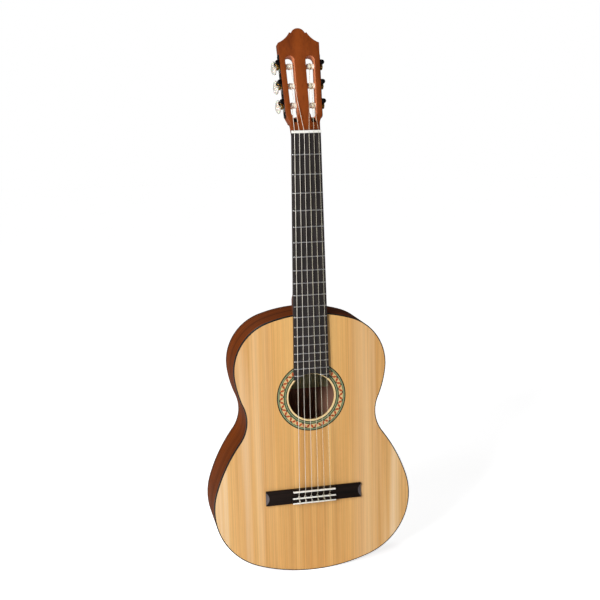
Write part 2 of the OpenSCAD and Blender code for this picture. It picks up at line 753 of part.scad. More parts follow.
module button_2() { button(2); }
module button_3() { button(3); }
module button_4() { button(4); }
module button_5() { button(5); }
module button_6() { button(6); }

soundboard();
back();
side_bass();
side_treble();
top_binding();
back_binding();
neck_block();
tail_block();
top_linings();
back_linings();
fan_braces();
top_bars();
bridge_patch();
back_bars();
label();
rosette_mosaic();
rosette_rings();
neck();
headstock();
heel_cap();
fingerboard();
frets();
nut();
bridge();
saddle();
tie_block_caps();
string_1();
string_2();
string_3();
string_4();
string_5();
string_6();
plate_bass();
plate_treble();
plate_screws();
worm_saddles();
roller_1();
roller_2();
roller_3();
roller_4();
roller_5();
roller_6();
gear_1();
gear_2();
gear_3();
gear_4();
gear_5();
gear_6();
worm_1();
worm_2();
worm_3();
worm_4();
worm_5();
worm_6();
button_1();
button_2();
button_3();
button_4();
button_5();
button_6();
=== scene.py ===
from math import acos, asin, atan2, ceil, copysign, cos, floor, pi, radians, sin, sqrt, tan

import bmesh
import bpy
from mathutils import Matrix, Vector
from mathutils.geometry import tessellate_polygon


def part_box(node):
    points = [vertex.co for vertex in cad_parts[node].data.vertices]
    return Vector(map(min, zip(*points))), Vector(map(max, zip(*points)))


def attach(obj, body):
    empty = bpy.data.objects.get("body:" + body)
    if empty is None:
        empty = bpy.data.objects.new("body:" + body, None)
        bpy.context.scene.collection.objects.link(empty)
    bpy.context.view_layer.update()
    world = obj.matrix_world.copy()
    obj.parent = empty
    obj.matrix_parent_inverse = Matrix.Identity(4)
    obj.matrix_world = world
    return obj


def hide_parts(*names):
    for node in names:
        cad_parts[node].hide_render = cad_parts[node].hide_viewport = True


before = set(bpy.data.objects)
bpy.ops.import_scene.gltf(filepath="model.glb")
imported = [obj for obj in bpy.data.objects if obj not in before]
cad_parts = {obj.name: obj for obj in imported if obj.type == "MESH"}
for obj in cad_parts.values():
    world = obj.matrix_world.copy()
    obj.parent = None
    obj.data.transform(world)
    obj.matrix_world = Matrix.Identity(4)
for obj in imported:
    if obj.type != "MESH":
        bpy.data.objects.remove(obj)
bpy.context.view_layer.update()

# Every shape below is drawn in millimetres. x points to the treble side, y goes back from the
# soundboard's face and z goes up from the tail.
MM = 0.001
SCALE = 650             # free length of the strings, from the nut to the saddle
NUT_Z, NUT_T, NUT_HALF = 812.3, 4.8, 26
HEAD_TILT = radians(15)
HEAD_Y = -1
HEAD_Z = NUT_Z + NUT_T + 0.35
HEAD_T = 20
HEAD_HALF = 34.3        # half width of the head at REF_S
REF_S = 80.5
SIDE_ANGLE = radians(2)
BODY_LEN = 492
DEPTH_TAIL, DEPTH_NECK = 104, 92
BACK_SLOPE = (DEPTH_TAIL - DEPTH_NECK) / BODY_LEN
SIDE_T = 3
BIND_H = 5
TOP_T, BACK_T = 2.6, 2.8

FACE_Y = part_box("soundboard")[0].y
rings_low, rings_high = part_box("rosette_rings")
HOLE_Z = (rings_low.z + rings_high.z) / 2 / MM
ROSETTE_R = rings_high.x / MM
HOLE_R = 43.0
HOLE_LIP = 0.35         # rounding of the soundhole's edges
INLAY_T = 1.0

BODY = Matrix.Translation((0, FACE_Y, 0)) @ Matrix.Scale(MM, 4)
LEAN = Matrix.Translation((0, HEAD_Y, HEAD_Z)) @ Matrix.Rotation(-HEAD_TILT, 4, "X")
HEAD = BODY @ LEAN


def side_frame(sign):
    """Leans with one side of the head, so that x stays square to its machine plate."""
    hinge = Matrix.Translation((sign * HEAD_HALF, 0, REF_S))
    return HEAD @ hinge @ Matrix.Rotation(sign * SIDE_ANGLE, 4, "Y") @ hinge.inverted()


MIRROR = Matrix.Diagonal((-1, 1, 1, 1))
# Frames whose x runs outwards from the middle of the head, on the bass and the treble side
OUTWARD = {-1: side_frame(-1) @ MIRROR, 1: side_frame(1)}

# A ball hollows the end of each wing of the bridge. SCOOP_CENTRE is its distance from each middle plane
BRIDGE_HALF, BRIDGE_H, WING_T, BRIDGE_Z = 90.5, 28, 4.2, 136.0
SCOOP_R = 31
scoop_place = Vector((BRIDGE_HALF + 8.5, -WING_T - 27.5, BRIDGE_Z + BRIDGE_H / 2))
SCOOP_CENTRE = tuple(abs(value) for value in BODY @ scoop_place)


# --- Materials ---
def srgb(red, green, blue):
    """Linear colour from 0 to 255 screen values."""
    def linear(value):
        value /= 255
        return value / 12.92 if value <= 0.04045 else ((value + 0.055) / 1.055) ** 2.4
    return (linear(red), linear(green), linear(blue), 1)


LOOKS = {}              # the materials by name: each Look adds its own


class Look:
    """A node material under construction. It reads the place of a point on its piece, in metres."""

    def __init__(self, name, **constants):
        self.material = bpy.data.materials.new(name)
        self.material.use_nodes = True
        LOOKS[name] = self.material
        self.tree = self.material.node_tree
        self.shader = self.tree.nodes["Principled BSDF"]
        for socket, value in constants.items():
            self.shader.inputs[socket.replace("_", " ")].default_value = value
        self.place = self.node("TexCoord").outputs["Object"]

    def node(self, kind, inputs=(), **settings):
        made = self.tree.nodes.new("ShaderNode" + kind)
        for key, value in settings.items():
            setattr(made, key, value)
        for key, value in dict(inputs).items():
            if isinstance(value, bpy.types.NodeSocket):
                self.tree.links.new(value, made.inputs[key])
            else:
                made.inputs[key].default_value = value
        return made

    def math(self, operation, *values):
        return self.node("Math", enumerate(values), operation=operation).outputs[0]

    def folded(self):
        """The place as distances, which read the same on both sides of the middle."""
        return self.node("VectorMath", {0: self.place}, operation="ABSOLUTE").outputs[0]

    def stretched(self, x, y, z, mirrored=False):
        """The place, folded if mirrored, and scaled along each axis."""
        place = self.folded() if mirrored else self.place
        return self.node("VectorMath", {0: place, 1: (x, y, z)}, operation="MULTIPLY").outputs[0]

    def off_centre(self):
        """Distance from the middle plane."""
        return self.math("ABSOLUTE", self.node("SeparateXYZ", {0: self.place}).outputs["X"])

    def noise(self, vector, detail=3, distortion=0.0):
        inputs = {"Vector": vector, "Scale": 1.0, "Detail": detail, "Distortion": distortion}
        return self.node("TexNoise", inputs).outputs["Fac"]

    def ramp(self, fac, *stops):
        """Colour ramp through (position, colour) stops."""
        node = self.node("ValToRGB", {"Fac": fac})
        elements = node.color_ramp.elements
        for i, (position, colour) in enumerate(stops):
            element = elements[i] if i < 2 else elements.new(position)
            element.position = position
            element.color = colour if isinstance(colour, tuple) else (colour, colour, colour, 1)
        return node.outputs["Color"]

    def mix(self, fac, a, b, blend="MIX"):
        node = self.node("Mix", {0: fac, 6: a, 7: b}, data_type="RGBA", blend_type=blend)
        return node.outputs[2]

    def bump(self, height, strength, distance):
        inputs = {"Height": height, "Strength": strength, "Distance": distance * MM}
        self.finish(Normal=self.node("Bump", inputs).outputs["Normal"])

    def finish(self, **sockets):
        for socket, value in sockets.items():
            self.tree.links.new(value, self.shader.inputs[socket.replace("_", " ")])
        return self.material


EDGE_SHEEN_RATE = 6        # brings the distance from the middle, in metres, to the range of the ramp of the painted sheen towards the edges


def spruce(name, light, dark, lacquer):
    """Bookmatched softwood with its grain up the body: broad streaks, fine growth rings, faint silk, and
    paler streaks towards the edges, which are wood figure with a painted sheen that grows towards the edges."""
    look = Look(name, Coat_Weight=lacquer, Coat_Roughness=0.16, Coat_IOR=1.4, Specular_IOR_Level=0.3)
    streaks = look.noise(look.stretched(52, 6, 0.9, mirrored=True), detail=4, distortion=0.4)
    bands = look.noise(look.stretched(210, 20, 2.2, mirrored=True), detail=3)
    rings = look.noise(look.stretched(760, 60, 4, mirrored=True), detail=2)
    silk = look.noise(look.stretched(90, 30, 46, mirrored=True), detail=2, distortion=1.2)
    colour = look.ramp(streaks, (0.3, dark), (0.68, light))
    colour = look.mix(0.28, colour, look.ramp(bands, (0.35, dark), (0.62, light)))
    colour = look.mix(0.55, colour, look.ramp(rings, (0.34, 0.72), (0.56, 1.0)), blend="MULTIPLY")
    colour = look.mix(0.25, colour, look.ramp(silk, (0.4, 0.93), (0.6, 1.0)), blend="MULTIPLY")
    # Paler streaks towards the edges: streaky wood figure, with a painted sheen that grows from the middle to
    # the edges
    edge_sheen = look.ramp(look.math("MULTIPLY", look.off_centre(), EDGE_SHEEN_RATE), (0.4, 0.0), (1.05, 1.0))
    wash = look.noise(look.stretched(36, 4, 0.8), detail=3, distortion=0.3)
    pale_streaks_and_sheen = look.math("MULTIPLY", edge_sheen, look.ramp(wash, (0.44, 0.08), (0.6, 0.85)))
    colour = look.mix(pale_streaks_and_sheen, colour, srgb(250, 220, 178))
    look.bump(rings, 0.25, 0.05)
    return look.finish(Base_Color=colour, Roughness=look.ramp(rings, (0.3, 0.5), (0.7, 0.38)))


def painted_sheen_hollows(look):
    """Where a point lies in the hollow at the end of a wing of the bridge, which gets a painted sheen."""
    apart = {0: look.folded(), 1: SCOOP_CENTRE}
    reach = look.node("VectorMath", apart, operation="DISTANCE").outputs["Value"]
    return look.math("LESS_THAN", reach, (SCOOP_R + 0.12) * MM)


def slot_walls(look):
    """Where a point lies below the face of the head, on the walls of its two slots."""
    corner = tuple(HEAD.translation)
    offset = look.node("VectorMath", {0: look.place, 1: corner}, operation="SUBTRACT").outputs[0]
    within = look.math("LESS_THAN", look.off_centre(), 27 * MM)
    for axis, low, high in ((1, 0.8, HEAD_T - 1), (2, 14, 135)):
        along = {0: offset, 1: tuple(HEAD.to_3x3().col[axis].normalized())}
        value = look.node("VectorMath", along, operation="DOT_PRODUCT").outputs["Value"]
        within = look.math("MULTIPLY", within, look.math("GREATER_THAN", value, low * MM))
        within = look.math("MULTIPLY", within, look.math("LESS_THAN", value, high * MM))
    return within


def hardwood(name, light, dark, grain, lacquer=0.5, rough=0.36, pore=0.8, gloss=0.18, sheen=0.3,
             mirrored=False, bare_wood_and_sheen=None):
    """Open-pored wood. grain scales x, y and z, so that the smallest of them is the way the grain runs.
    bare_wood_and_sheen is a colour and a function that tells where it shows: unfinished wood on the head's
    slot walls, a painted sheen in the bridge's wing hollows."""
    look = Look(name, Coat_Weight=lacquer, Coat_Roughness=gloss, Coat_IOR=1.4, Specular_IOR_Level=sheen)
    x, y, z = grain
    figure = look.noise(look.stretched(x * 0.3, y * 0.3, z, mirrored), detail=4, distortion=0.8)
    streaks = look.noise(look.stretched(x, y, z, mirrored), detail=5, distortion=0.2)
    pores = look.noise(look.stretched(x * 7, y * 7, z * 9, mirrored), detail=1)
    colour = look.ramp(streaks, (0.33, dark), (0.66, light))
    colour = look.mix(0.5, colour, look.ramp(figure, (0.35, dark), (0.65, light)))
    shade = look.ramp(pores, (0.3, 1 - pore), (0.42, 1.0))
    colour = look.mix(0.7, colour, shade, blend="MULTIPLY")
    if bare_wood_and_sheen:
        tone, where = bare_wood_and_sheen
        colour = look.mix(where(look), colour, look.mix(1.0, tone, shade, blend="MULTIPLY"))
    look.bump(shade, 0.35, 0.06)
    return look.finish(Base_Color=colour, Roughness=look.ramp(streaks, (0.3, rough + 0.1), (0.7, rough)))


def inlay(name, light, dark):
    """Dyed veneer let into the top."""
    return hardwood(name, light, dark, (450, 450, 70), rough=0.3)


def polished(name, light, dark, scale, rough, bump=0.0, **constants):
    """Smooth plastic, bone or lacquer with a soft change of tone and roughness over it."""
    look = Look(name, **constants)
    clouds = look.noise(look.stretched(scale, scale, scale), detail=4, distortion=0.6)
    fine = look.noise(look.stretched(scale * 14, scale * 14, scale * 14), detail=2)
    colour = look.ramp(clouds, (0.36, dark), (0.64, light))
    look.bump(fine, bump, 0.05)
    return look.finish(Base_Color=colour, Roughness=look.ramp(fine, (0.35, rough), (0.65, rough * 1.5)))


def metal(name, light, dark, rough, direction=(300, 300, 300), **constants):
    """Worked metal: tarnish in patches and fine marks left by the tool."""
    look = Look(name, Metallic=1.0, **constants)
    tarnish = look.noise(look.stretched(160, 160, 160), detail=4, distortion=0.5)
    marks = look.noise(look.stretched(*(value * 12 for value in direction)), detail=2)
    colour = look.ramp(tarnish, (0.35, dark), (0.62, light))
    look.bump(marks, 0.2, 0.02)
    return look.finish(Base_Color=colour, Roughness=look.ramp(marks, (0.3, rough), (0.7, rough * 1.6)))


def pearl():
    """Swirled pearl plastic that lets some light through."""
    look = Look("pearl_button", Subsurface_Weight=0.2, Subsurface_Scale=0.004, Transmission_Weight=0.5,
                Coat_Weight=0.4, Coat_Roughness=0.08, IOR=1.3)
    swirl = look.noise(look.stretched(110, 110, 60), detail=3, distortion=3.2)
    fine = look.noise(look.stretched(420, 420, 180), detail=2, distortion=2)
    colour = look.ramp(swirl, (0.3, srgb(238, 230, 206)), (0.45, srgb(252, 250, 242)),
                       (0.55, srgb(242, 238, 226)), (0.7, srgb(255, 254, 250)))
    colour = look.mix(0.3, colour, look.ramp(fine, (0.35, 0.86), (0.6, 1.0)), blend="MULTIPLY")
    return look.finish(Base_Color=colour, Roughness=look.ramp(swirl, (0.3, 0.28), (0.7, 0.14)))


def winding():
    """Silver-plated wire wound round a bass string. `along` is the distance down the string, in metres."""
    look = Look("wound_string", Metallic=0.4)
    along = look.node("Attribute", attribute_name="along").outputs["Fac"]
    turns = look.math("SINE", look.math("MULTIPLY", along, 2 * pi / (0.3 * MM)))
    ridge = look.math("MULTIPLY_ADD", turns, 0.5, 0.5)
    tone = look.noise(look.stretched(300, 300, 40), detail=3)
    colour = look.ramp(tone, (0.35, srgb(238, 230, 213)), (0.65, srgb(255, 249, 236)))
    # The grooves between the turns of wire are darkened: painted shade
    colour = look.mix(0.35, colour, look.ramp(ridge, (0.0, 0.5), (0.5, 1.0)), blend="MULTIPLY")
    look.bump(ridge, 0.5, 0.06)
    return look.finish(Base_Color=colour, Roughness=look.ramp(tone, (0.3, 0.5), (0.7, 0.4)))


def paper():
    """Aged laid paper."""
    look = Look("paper_label", Specular_IOR_Level=0.2)
    laid = look.noise(look.stretched(60, 60, 1400), detail=2)
    foxing = look.noise(look.stretched(45, 45, 45), detail=5, distortion=0.6)
    colour = look.ramp(foxing, (0.3, srgb(176, 172, 132)), (0.66, srgb(208, 203, 164)))
    colour = look.mix(0.35, colour, look.ramp(laid, (0.4, 0.9), (0.6, 1.0)), blend="MULTIPLY")
    look.bump(laid, 0.3, 0.05)
    return look.finish(Base_Color=colour, Roughness=look.ramp(foxing, (0.3, 0.85), (0.7, 0.7)))


ALONG = (130, 130, 4)       # grain that runs up the body
ROUND = (3, 190, 3)         # grain that runs round the sides
spruce("spruce_top", srgb(240, 190, 118), srgb(214, 154, 84), 0.35)
spruce("spruce_brace", srgb(226, 190, 138), srgb(196, 152, 98), 0.0)
hardwood("mahogany_body", srgb(128, 60, 16), srgb(88, 41, 12), ROUND, lacquer=0.02, rough=0.55,
         sheen=0.04)
hardwood("mahogany_back", srgb(134, 70, 34), srgb(92, 44, 22), ALONG, lacquer=0.3, mirrored=True)
hardwood("neck_wood", srgb(120, 62, 34), srgb(82, 38, 22), ALONG, lacquer=0.15, sheen=0.2)
hardwood("head_wood", srgb(154, 75, 28), srgb(98, 41, 14), (46, 46, 4), lacquer=0.15, sheen=0.15,
         pore=0.25, bare_wood_and_sheen=(srgb(214, 132, 88), slot_walls))
hardwood("raw_mahogany", srgb(188, 142, 120), srgb(154, 112, 94), ALONG, lacquer=0, rough=0.7, pore=0.3,
         sheen=0.05)
# Dark liner for the string ramps on the head: painted shade
hardwood("painted_shade_wood", srgb(34, 20, 14), srgb(20, 12, 9), (60, 60, 5), lacquer=0, rough=0.6, sheen=0.05)
hardwood("cedar_block", srgb(176, 128, 84), srgb(140, 96, 58), ALONG, lacquer=0, rough=0.6)
hardwood("ebony", srgb(56, 51, 51), srgb(34, 31, 31), (260, 260, 7), lacquer=0, rough=0.45, pore=0.4,
         sheen=0.2)
# The pale grey in the hollows at the ends of the wings is a painted sheen
hardwood("bridge_wood", srgb(33, 21, 16), srgb(15, 9, 7), (7, 260, 260), lacquer=0.15, rough=0.4,
         pore=0.4, gloss=0.25, sheen=0.08, bare_wood_and_sheen=(srgb(100, 94, 96), painted_sheen_hollows))
polished("dark_binding", srgb(24, 20, 20), srgb(12, 10, 10), 60, 0.32, Coat_Weight=0.1,
         Specular_IOR_Level=0.25)
polished("bone", srgb(255, 254, 250), srgb(247, 244, 234), 90, 0.28, Coat_Weight=0.2)
polished("nylon", srgb(255, 249, 230), srgb(246, 239, 216), 200, 0.2, IOR=1.53, Transmission_Weight=0.6)
polished("roller_plastic", srgb(255, 253, 240), srgb(248, 241, 222), 150, 0.3, Coat_Weight=0.2)
inlay("mosaic_inlay", srgb(236, 206, 146), srgb(216, 180, 120))
inlay("mosaic_orange", srgb(206, 92, 44), srgb(168, 62, 30))
inlay("mosaic_cream", srgb(255, 228, 170), srgb(246, 210, 148))
inlay("ring_inlay", srgb(50, 62, 42), srgb(30, 40, 28))
inlay("ring_light", srgb(152, 164, 122), srgb(118, 138, 98))
inlay("ring_dark", srgb(30, 20, 17), srgb(18, 12, 11))
metal("fret_metal", srgb(226, 226, 228), srgb(196, 196, 200), 0.2, (20, 300, 300))
metal("brass_gear", srgb(214, 170, 82), srgb(150, 108, 44), 0.22)
metal("screw_metal", srgb(60, 56, 52), srgb(34, 31, 30), 0.3)
metal("dark_metal", srgb(46, 42, 42), srgb(24, 22, 22), 0.26, Coat_Weight=0.5)
metal("core_steel", srgb(206, 204, 200), srgb(160, 156, 150), 0.26, (20, 300, 300))
pearl()
winding()
paper()


# --- Mesh code ---
def linked(name, data):
    """New object in the scene."""
    made = bpy.data.objects.new(name, data)
    bpy.context.scene.collection.objects.link(made)
    return made


def piece(name, mesh, look, place=BODY, body="guitar", nodes=(), crease=38):
    """Makes a visible piece from a bmesh in millimetres, which rides on a body and stands for its nodes."""
    data = settled(mesh, name)
    data.transform(place)
    if place.determinant() < 0:
        data.flip_normals()
    data.materials.append(LOOKS[look])
    data.shade_smooth()
    data.set_sharp_from_angle(angle=radians(crease))
    made = linked(name, data)
    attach(made, body)
    if nodes:
        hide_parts(*nodes)
    return made


def skin(rings, closed_rings=True, closed_path=False):
    """Skins rings that all have the same number of points. An open path gets an end cap at each end."""
    mesh = bmesh.new()
    rows = [[mesh.verts.new(point) for point in ring] for ring in rings]
    count = len(rows[0])
    for here, there in zip(rows, rows[1:] + rows[:1] if closed_path else rows[1:]):
        for j in range(count if closed_rings else count - 1):
            k = (j + 1) % count
            mesh.faces.new((here[j], here[k], there[k], there[j]))
    if not closed_path:
        mesh.faces.new(rows[0])
        mesh.faces.new(rows[-1])
    return mesh


def in_front(u, v, w):
    """Place of an outline point at a depth measured back from the front of the top."""
    return (u, w, v)


def slab(steps, place=in_front):
    """Solid from (loops, depth) steps: its outline and holes at each depth. Both ends are closed."""
    mesh = bmesh.new()
    rows = [[[mesh.verts.new(place(*point, depth)) for point in loop] for loop in loops]
            for loops, depth in steps]
    for here, there in zip(rows, rows[1:]):
        for a, b in zip(here, there):
            for j in range(len(a)):
                k = (j + 1) % len(a)
                mesh.faces.new((a[j], a[k], b[k], b[j]))
    for (loops, _), row in ((steps[0], rows[0]), (steps[-1], rows[-1])):
        corners = [corner for loop in row for corner in loop]
        for triangle in tessellate_polygon([[Vector((*point, 0)) for point in loop] for loop in loops]):
            mesh.faces.new([corners[i] for i in triangle])
    return mesh


def grown(loop, distance):
    """The closed loop with each point moved out by the distance. A hole grows inwards by a minus sign."""
    area = sum(a[0] * b[1] - b[0] * a[1] for a, b in zip(loop, loop[1:] + loop[:1]))
    turn = 1 if area > 0 else -1
    shifted = []
    for before, point, after in zip(loop[-1:] + loop[:-1], loop, loop[1:] + loop[:1]):
        a = (Vector(point) - Vector(before)).normalized()
        b = (Vector(after) - Vector(point)).normalized()
        normal = Vector((a.y + b.y, -a.x - b.x)) * turn / max(0.6, 1 + a.dot(b))
        shifted.append(tuple(Vector(point) + normal * distance))
    return shifted


def rounded(front, back, radius, steps=3):
    """(inset, depth) pairs of a slab whose two rims are rounded."""
    turn = [i * pi / 2 / steps for i in range(steps + 1)]
    rim = [(radius * (1 - sin(a)), radius * (1 - cos(a))) for a in turn]
    return ([(inset, front + deep) for inset, deep in rim]
            + [(inset, back - deep) for inset, deep in rim[::-1]])


def plaque(outline, holes, front, back, radius, place=in_front):
    """Slab with rounded rims round its outline and its holes."""
    return slab([([grown(outline, -inset)] + [grown(hole, inset) for hole in holes], depth)
                 for inset, depth in rounded(front, back, radius)], place)


def circle(radius, centre=(0, 0), count=96):
    return [(centre[0] + radius * cos(a), centre[1] + radius * sin(a))
            for a in (2 * pi * i / count for i in range(count))]


def block(low, high, radius=0.4, segments=2):
    """Box with rounded edges."""
    mesh = bmesh.new()
    bmesh.ops.create_cube(mesh, size=1)
    size = Vector(high) - Vector(low)
    for vert in mesh.verts:
        vert.co = Vector(low) + Vector((vert.co[i] + 0.5) * size[i] for i in range(3))
    bmesh.ops.bevel(mesh, geom=mesh.edges[:], offset=radius, segments=segments, profile=0.5, affect="EDGES")
    return mesh


def lathe(profile, count=40, axis="x"):
    """Solid of revolution through (place along the axis, radius) pairs."""
    order = {"x": lambda t, a, b: (t, a, b), "y": lambda t, a, b: (a, t, b)}[axis]
    return skin([[order(along, a, b) for a, b in circle(radius, count=count)] for along, radius in profile])


def settled(mesh, name="part"):
    """Blender mesh data from a bmesh, with its faces turned outwards."""
    bmesh.ops.recalc_face_normals(mesh, faces=mesh.faces)
    data = bpy.data.meshes.new(name)
    mesh.to_mesh(data)
    mesh.free()
    return data


def joined(*meshes):
    """One bmesh that holds them all."""
    whole = bmesh.new()
    for mesh in meshes:
        data = settled(mesh)
        whole.from_mesh(data)
        bpy.data.meshes.remove(data)
    return whole


def moved(mesh, matrix):
    bmesh.ops.transform(mesh, matrix=matrix, verts=mesh.verts)
    return mesh


def cut(mesh, *cutters):
    """The mesh less the cutters."""
    shapes = [linked("part", settled(part)) for part in (mesh, *cutters)]
    for cutter in shapes[1:]:
        step = shapes[0].modifiers.new("cut", "BOOLEAN")
        step.operation = "DIFFERENCE"
        step.solver = "EXACT"
        step.object = cutter
    bpy.context.view_layer.update()
    graph = bpy.context.evaluated_depsgraph_get()
    data = bpy.data.meshes.new_from_object(shapes[0].evaluated_get(graph))
    made = bmesh.new()
    made.from_mesh(data)
    for shape in shapes:
        bpy.data.objects.remove(shape)
    return made


def softened(points, radius, steps=5):
    """The path with its inner corners rounded off."""
    points = [Vector(point) for point in points]
    path = [points[0]]
    for before, corner, after in zip(points, points[1:], points[2:]):
        reach = min(radius, (corner - before).length * 0.45, (after - corner).length * 0.45)
        a = corner + (before - corner).normalized() * reach
        b = corner + (after - corner).normalized() * reach
        path += [a.lerp(corner, t).lerp(corner.lerp(b, t), t) for t in (i / steps for i in range(steps + 1))]
    return path + [points[-1]]


def tube(path, radius, sides=12):
    """Round wire along a path, with the distance along it kept as `along`, in metres."""
    path = [Vector(point) for point in path]
    heading = (path[1] - path[0]).normalized()
    across = heading.orthogonal().normalized()
    rings, lengths, length = [], [], 0.0
    for i, point in enumerate(path):
        length += (point - path[i - 1]).length if i else 0.0
        ahead = (path[min(i + 1, len(path) - 1)] - path[max(i - 1, 0)]).normalized()
        across = (across - ahead * across.dot(ahead)).normalized()
        up = ahead.cross(across)
        rings.append([point + a * across + b * up for a, b in circle(radius, count=sides)])
        lengths.append(length)
    mesh = skin(rings)
    layer = mesh.verts.layers.float.new("along")
    mesh.verts.ensure_lookup_table()
    for i, vert in enumerate(mesh.verts):
        vert[layer] = lengths[i // sides] * MM
    return mesh


# --- Body ---
def turn_of(vector):
    return atan2(vector.y, vector.x)


def around(centre, radius, start, end, step=radians(1.5)):
    """Points of an arc, without its last one."""
    count = max(2, ceil(abs(end - start) / step))
    return [centre + radius * Vector((cos(a), sin(a)))
            for a in (start + (end - start) * i / count for i in range(count))]


END_R, UPPER_R, UPPER_FLANK_R, WAIST_R = 250, 93, 195, 67
TAIL_R, LOWER_R, LOWER_FLANK_R = 311, 122.3, 303
UPPER_TURN, LOWER_TURN = radians(-7), radians(17.5)
end_c = Vector((0, BODY_LEN - END_R))
tail_c = Vector((0, TAIL_R))
upper_c = Vector((49, end_c.y + sqrt((END_R - UPPER_R) ** 2 - 49 ** 2)))
lower_c = Vector((64, tail_c.y - sqrt((TAIL_R - LOWER_R) ** 2 - 64 ** 2)))
upper_flank_c = upper_c - (UPPER_FLANK_R - UPPER_R) * Vector((cos(UPPER_TURN), sin(UPPER_TURN)))
lower_flank_c = lower_c - (LOWER_FLANK_R - LOWER_R) * Vector((cos(LOWER_TURN), sin(LOWER_TURN)))


def waist_centre():
    """Centre of the circle that touches both flanks from outside."""
    r_low, r_high = WAIST_R + LOWER_FLANK_R, WAIST_R + UPPER_FLANK_R
    apart = upper_flank_c - lower_flank_c
    d = apart.length
    along = (d * d + r_low * r_low - r_high * r_high) / (2 * d)
    u = apart / d
    return lower_flank_c + along * u + sqrt(r_low * r_low - along * along) * Vector((u.y, -u.x))


waist_c = waist_centre()


def half_outline(inset):
    """Treble half of the body's outline, from the middle of the neck end to the middle of the tail."""
    end_turn = turn_of(upper_c - end_c)
    waist_from, waist_to = turn_of(waist_c - upper_flank_c), turn_of(waist_c - lower_flank_c)
    tail_turn = turn_of(lower_c - tail_c)
    return (around(end_c, END_R - inset, pi / 2, end_turn)
            + around(upper_c, UPPER_R - inset, end_turn, UPPER_TURN)
            + around(upper_flank_c, UPPER_FLANK_R - inset, UPPER_TURN, waist_from)
            + around(waist_c, WAIST_R + inset, waist_from + pi, waist_to + pi)
            + around(lower_flank_c, LOWER_FLANK_R - inset, waist_to, LOWER_TURN)
            + around(lower_c, LOWER_R - inset, LOWER_TURN, tail_turn)
            + around(tail_c, TAIL_R - inset, tail_turn, -pi / 2)
            + [Vector((0, inset))])


def outline(inset):
    right = half_outline(inset)
    return [tuple(p) for p in right] + [(-p.x, p.y) for p in right[-2:0:-1]]


def back_y(z):
    """Depth of the outside of the back."""
    return DEPTH_TAIL - BACK_SLOPE * z


def behind(u, v, w):
    """Place of an outline point at a depth measured forwards from the outside of the back."""
    return (u, back_y(v) - w, v)


def binding_rim(inset_depth, place):
    """Closed moulding round the whole body through (inset, depth) pairs."""
    return skin([[place(*point, depth) for point in outline(inset)] for inset, depth in inset_depth],
                closed_path=True)


def round_hole(radius):
    """Circle about the middle of the soundhole."""
    return circle(radius, (0, HOLE_Z), 180)


def make_body():
    steps = [(ROSETTE_R, 0), (ROSETTE_R, INLAY_T), (HOLE_R, INLAY_T), (HOLE_R, TOP_T - 0.4),
             (HOLE_R + HOLE_LIP, TOP_T)]
    piece("soundboard", slab([([outline(SIDE_T), round_hole(radius)], depth) for radius, depth in steps]),
          "spruce_top", nodes=["soundboard"])
    plate, lining = outline(SIDE_T), outline(SIDE_T + 0.2)
    piece("back", slab([([plate], BACK_T), ([plate], 0.0)], behind), "mahogany_back", nodes=["back"])
    piece("back_inside", slab([([lining], BACK_T + 0.06), ([lining], BACK_T - 0.1)], behind), "raw_mahogany")
    rim = [(0, BIND_H), (0, 0.7), (0.2, 0.2), (0.7, 0), (SIDE_T, 0), (SIDE_T, BIND_H)]
    for name, place in (("top_binding", in_front), ("back_binding", behind)):
        piece(name, binding_rim(rim, place), "dark_binding", nodes=[name])
    # Strip of the top's own wood that leaves only a thin dark line of its binding in sight
    inner, outer, proud = SIDE_T + 0.1, 1.9, -0.02
    strip = [(outer, 0.3), (outer, proud), (inner, proud), (inner, 0.3)]
    piece("top_purfling", binding_rim(strip, in_front), "spruce_top")
    for name, sign in (("side_bass", -1), ("side_treble", 1)):
        rings = [[(sign * a.x, BIND_H, a.y), (sign * a.x, back_y(a.y) - BIND_H, a.y),
                  (sign * b.x, back_y(b.y) - BIND_H, b.y), (sign * b.x, BIND_H, b.y)]
                 for a, b in zip(half_outline(0), half_outline(SIDE_T))]
        piece(name, skin(rings), "mahogany_body", nodes=[name])
    # Light strip let into the joint of the two halves of the back
    low, high = SIDE_T + 0.3, BODY_LEN - SIDE_T - 0.3
    strip = [(-1.4, low), (1.4, low), (1.4, high), (-1.4, high)]
    piece("back_centre_strip", slab([([strip], 0.6), ([strip], -0.02)], behind), "mosaic_inlay")


# --- Rosette ---
MOSAIC_IN, MOSAIC_OUT = 52.0, 59.5


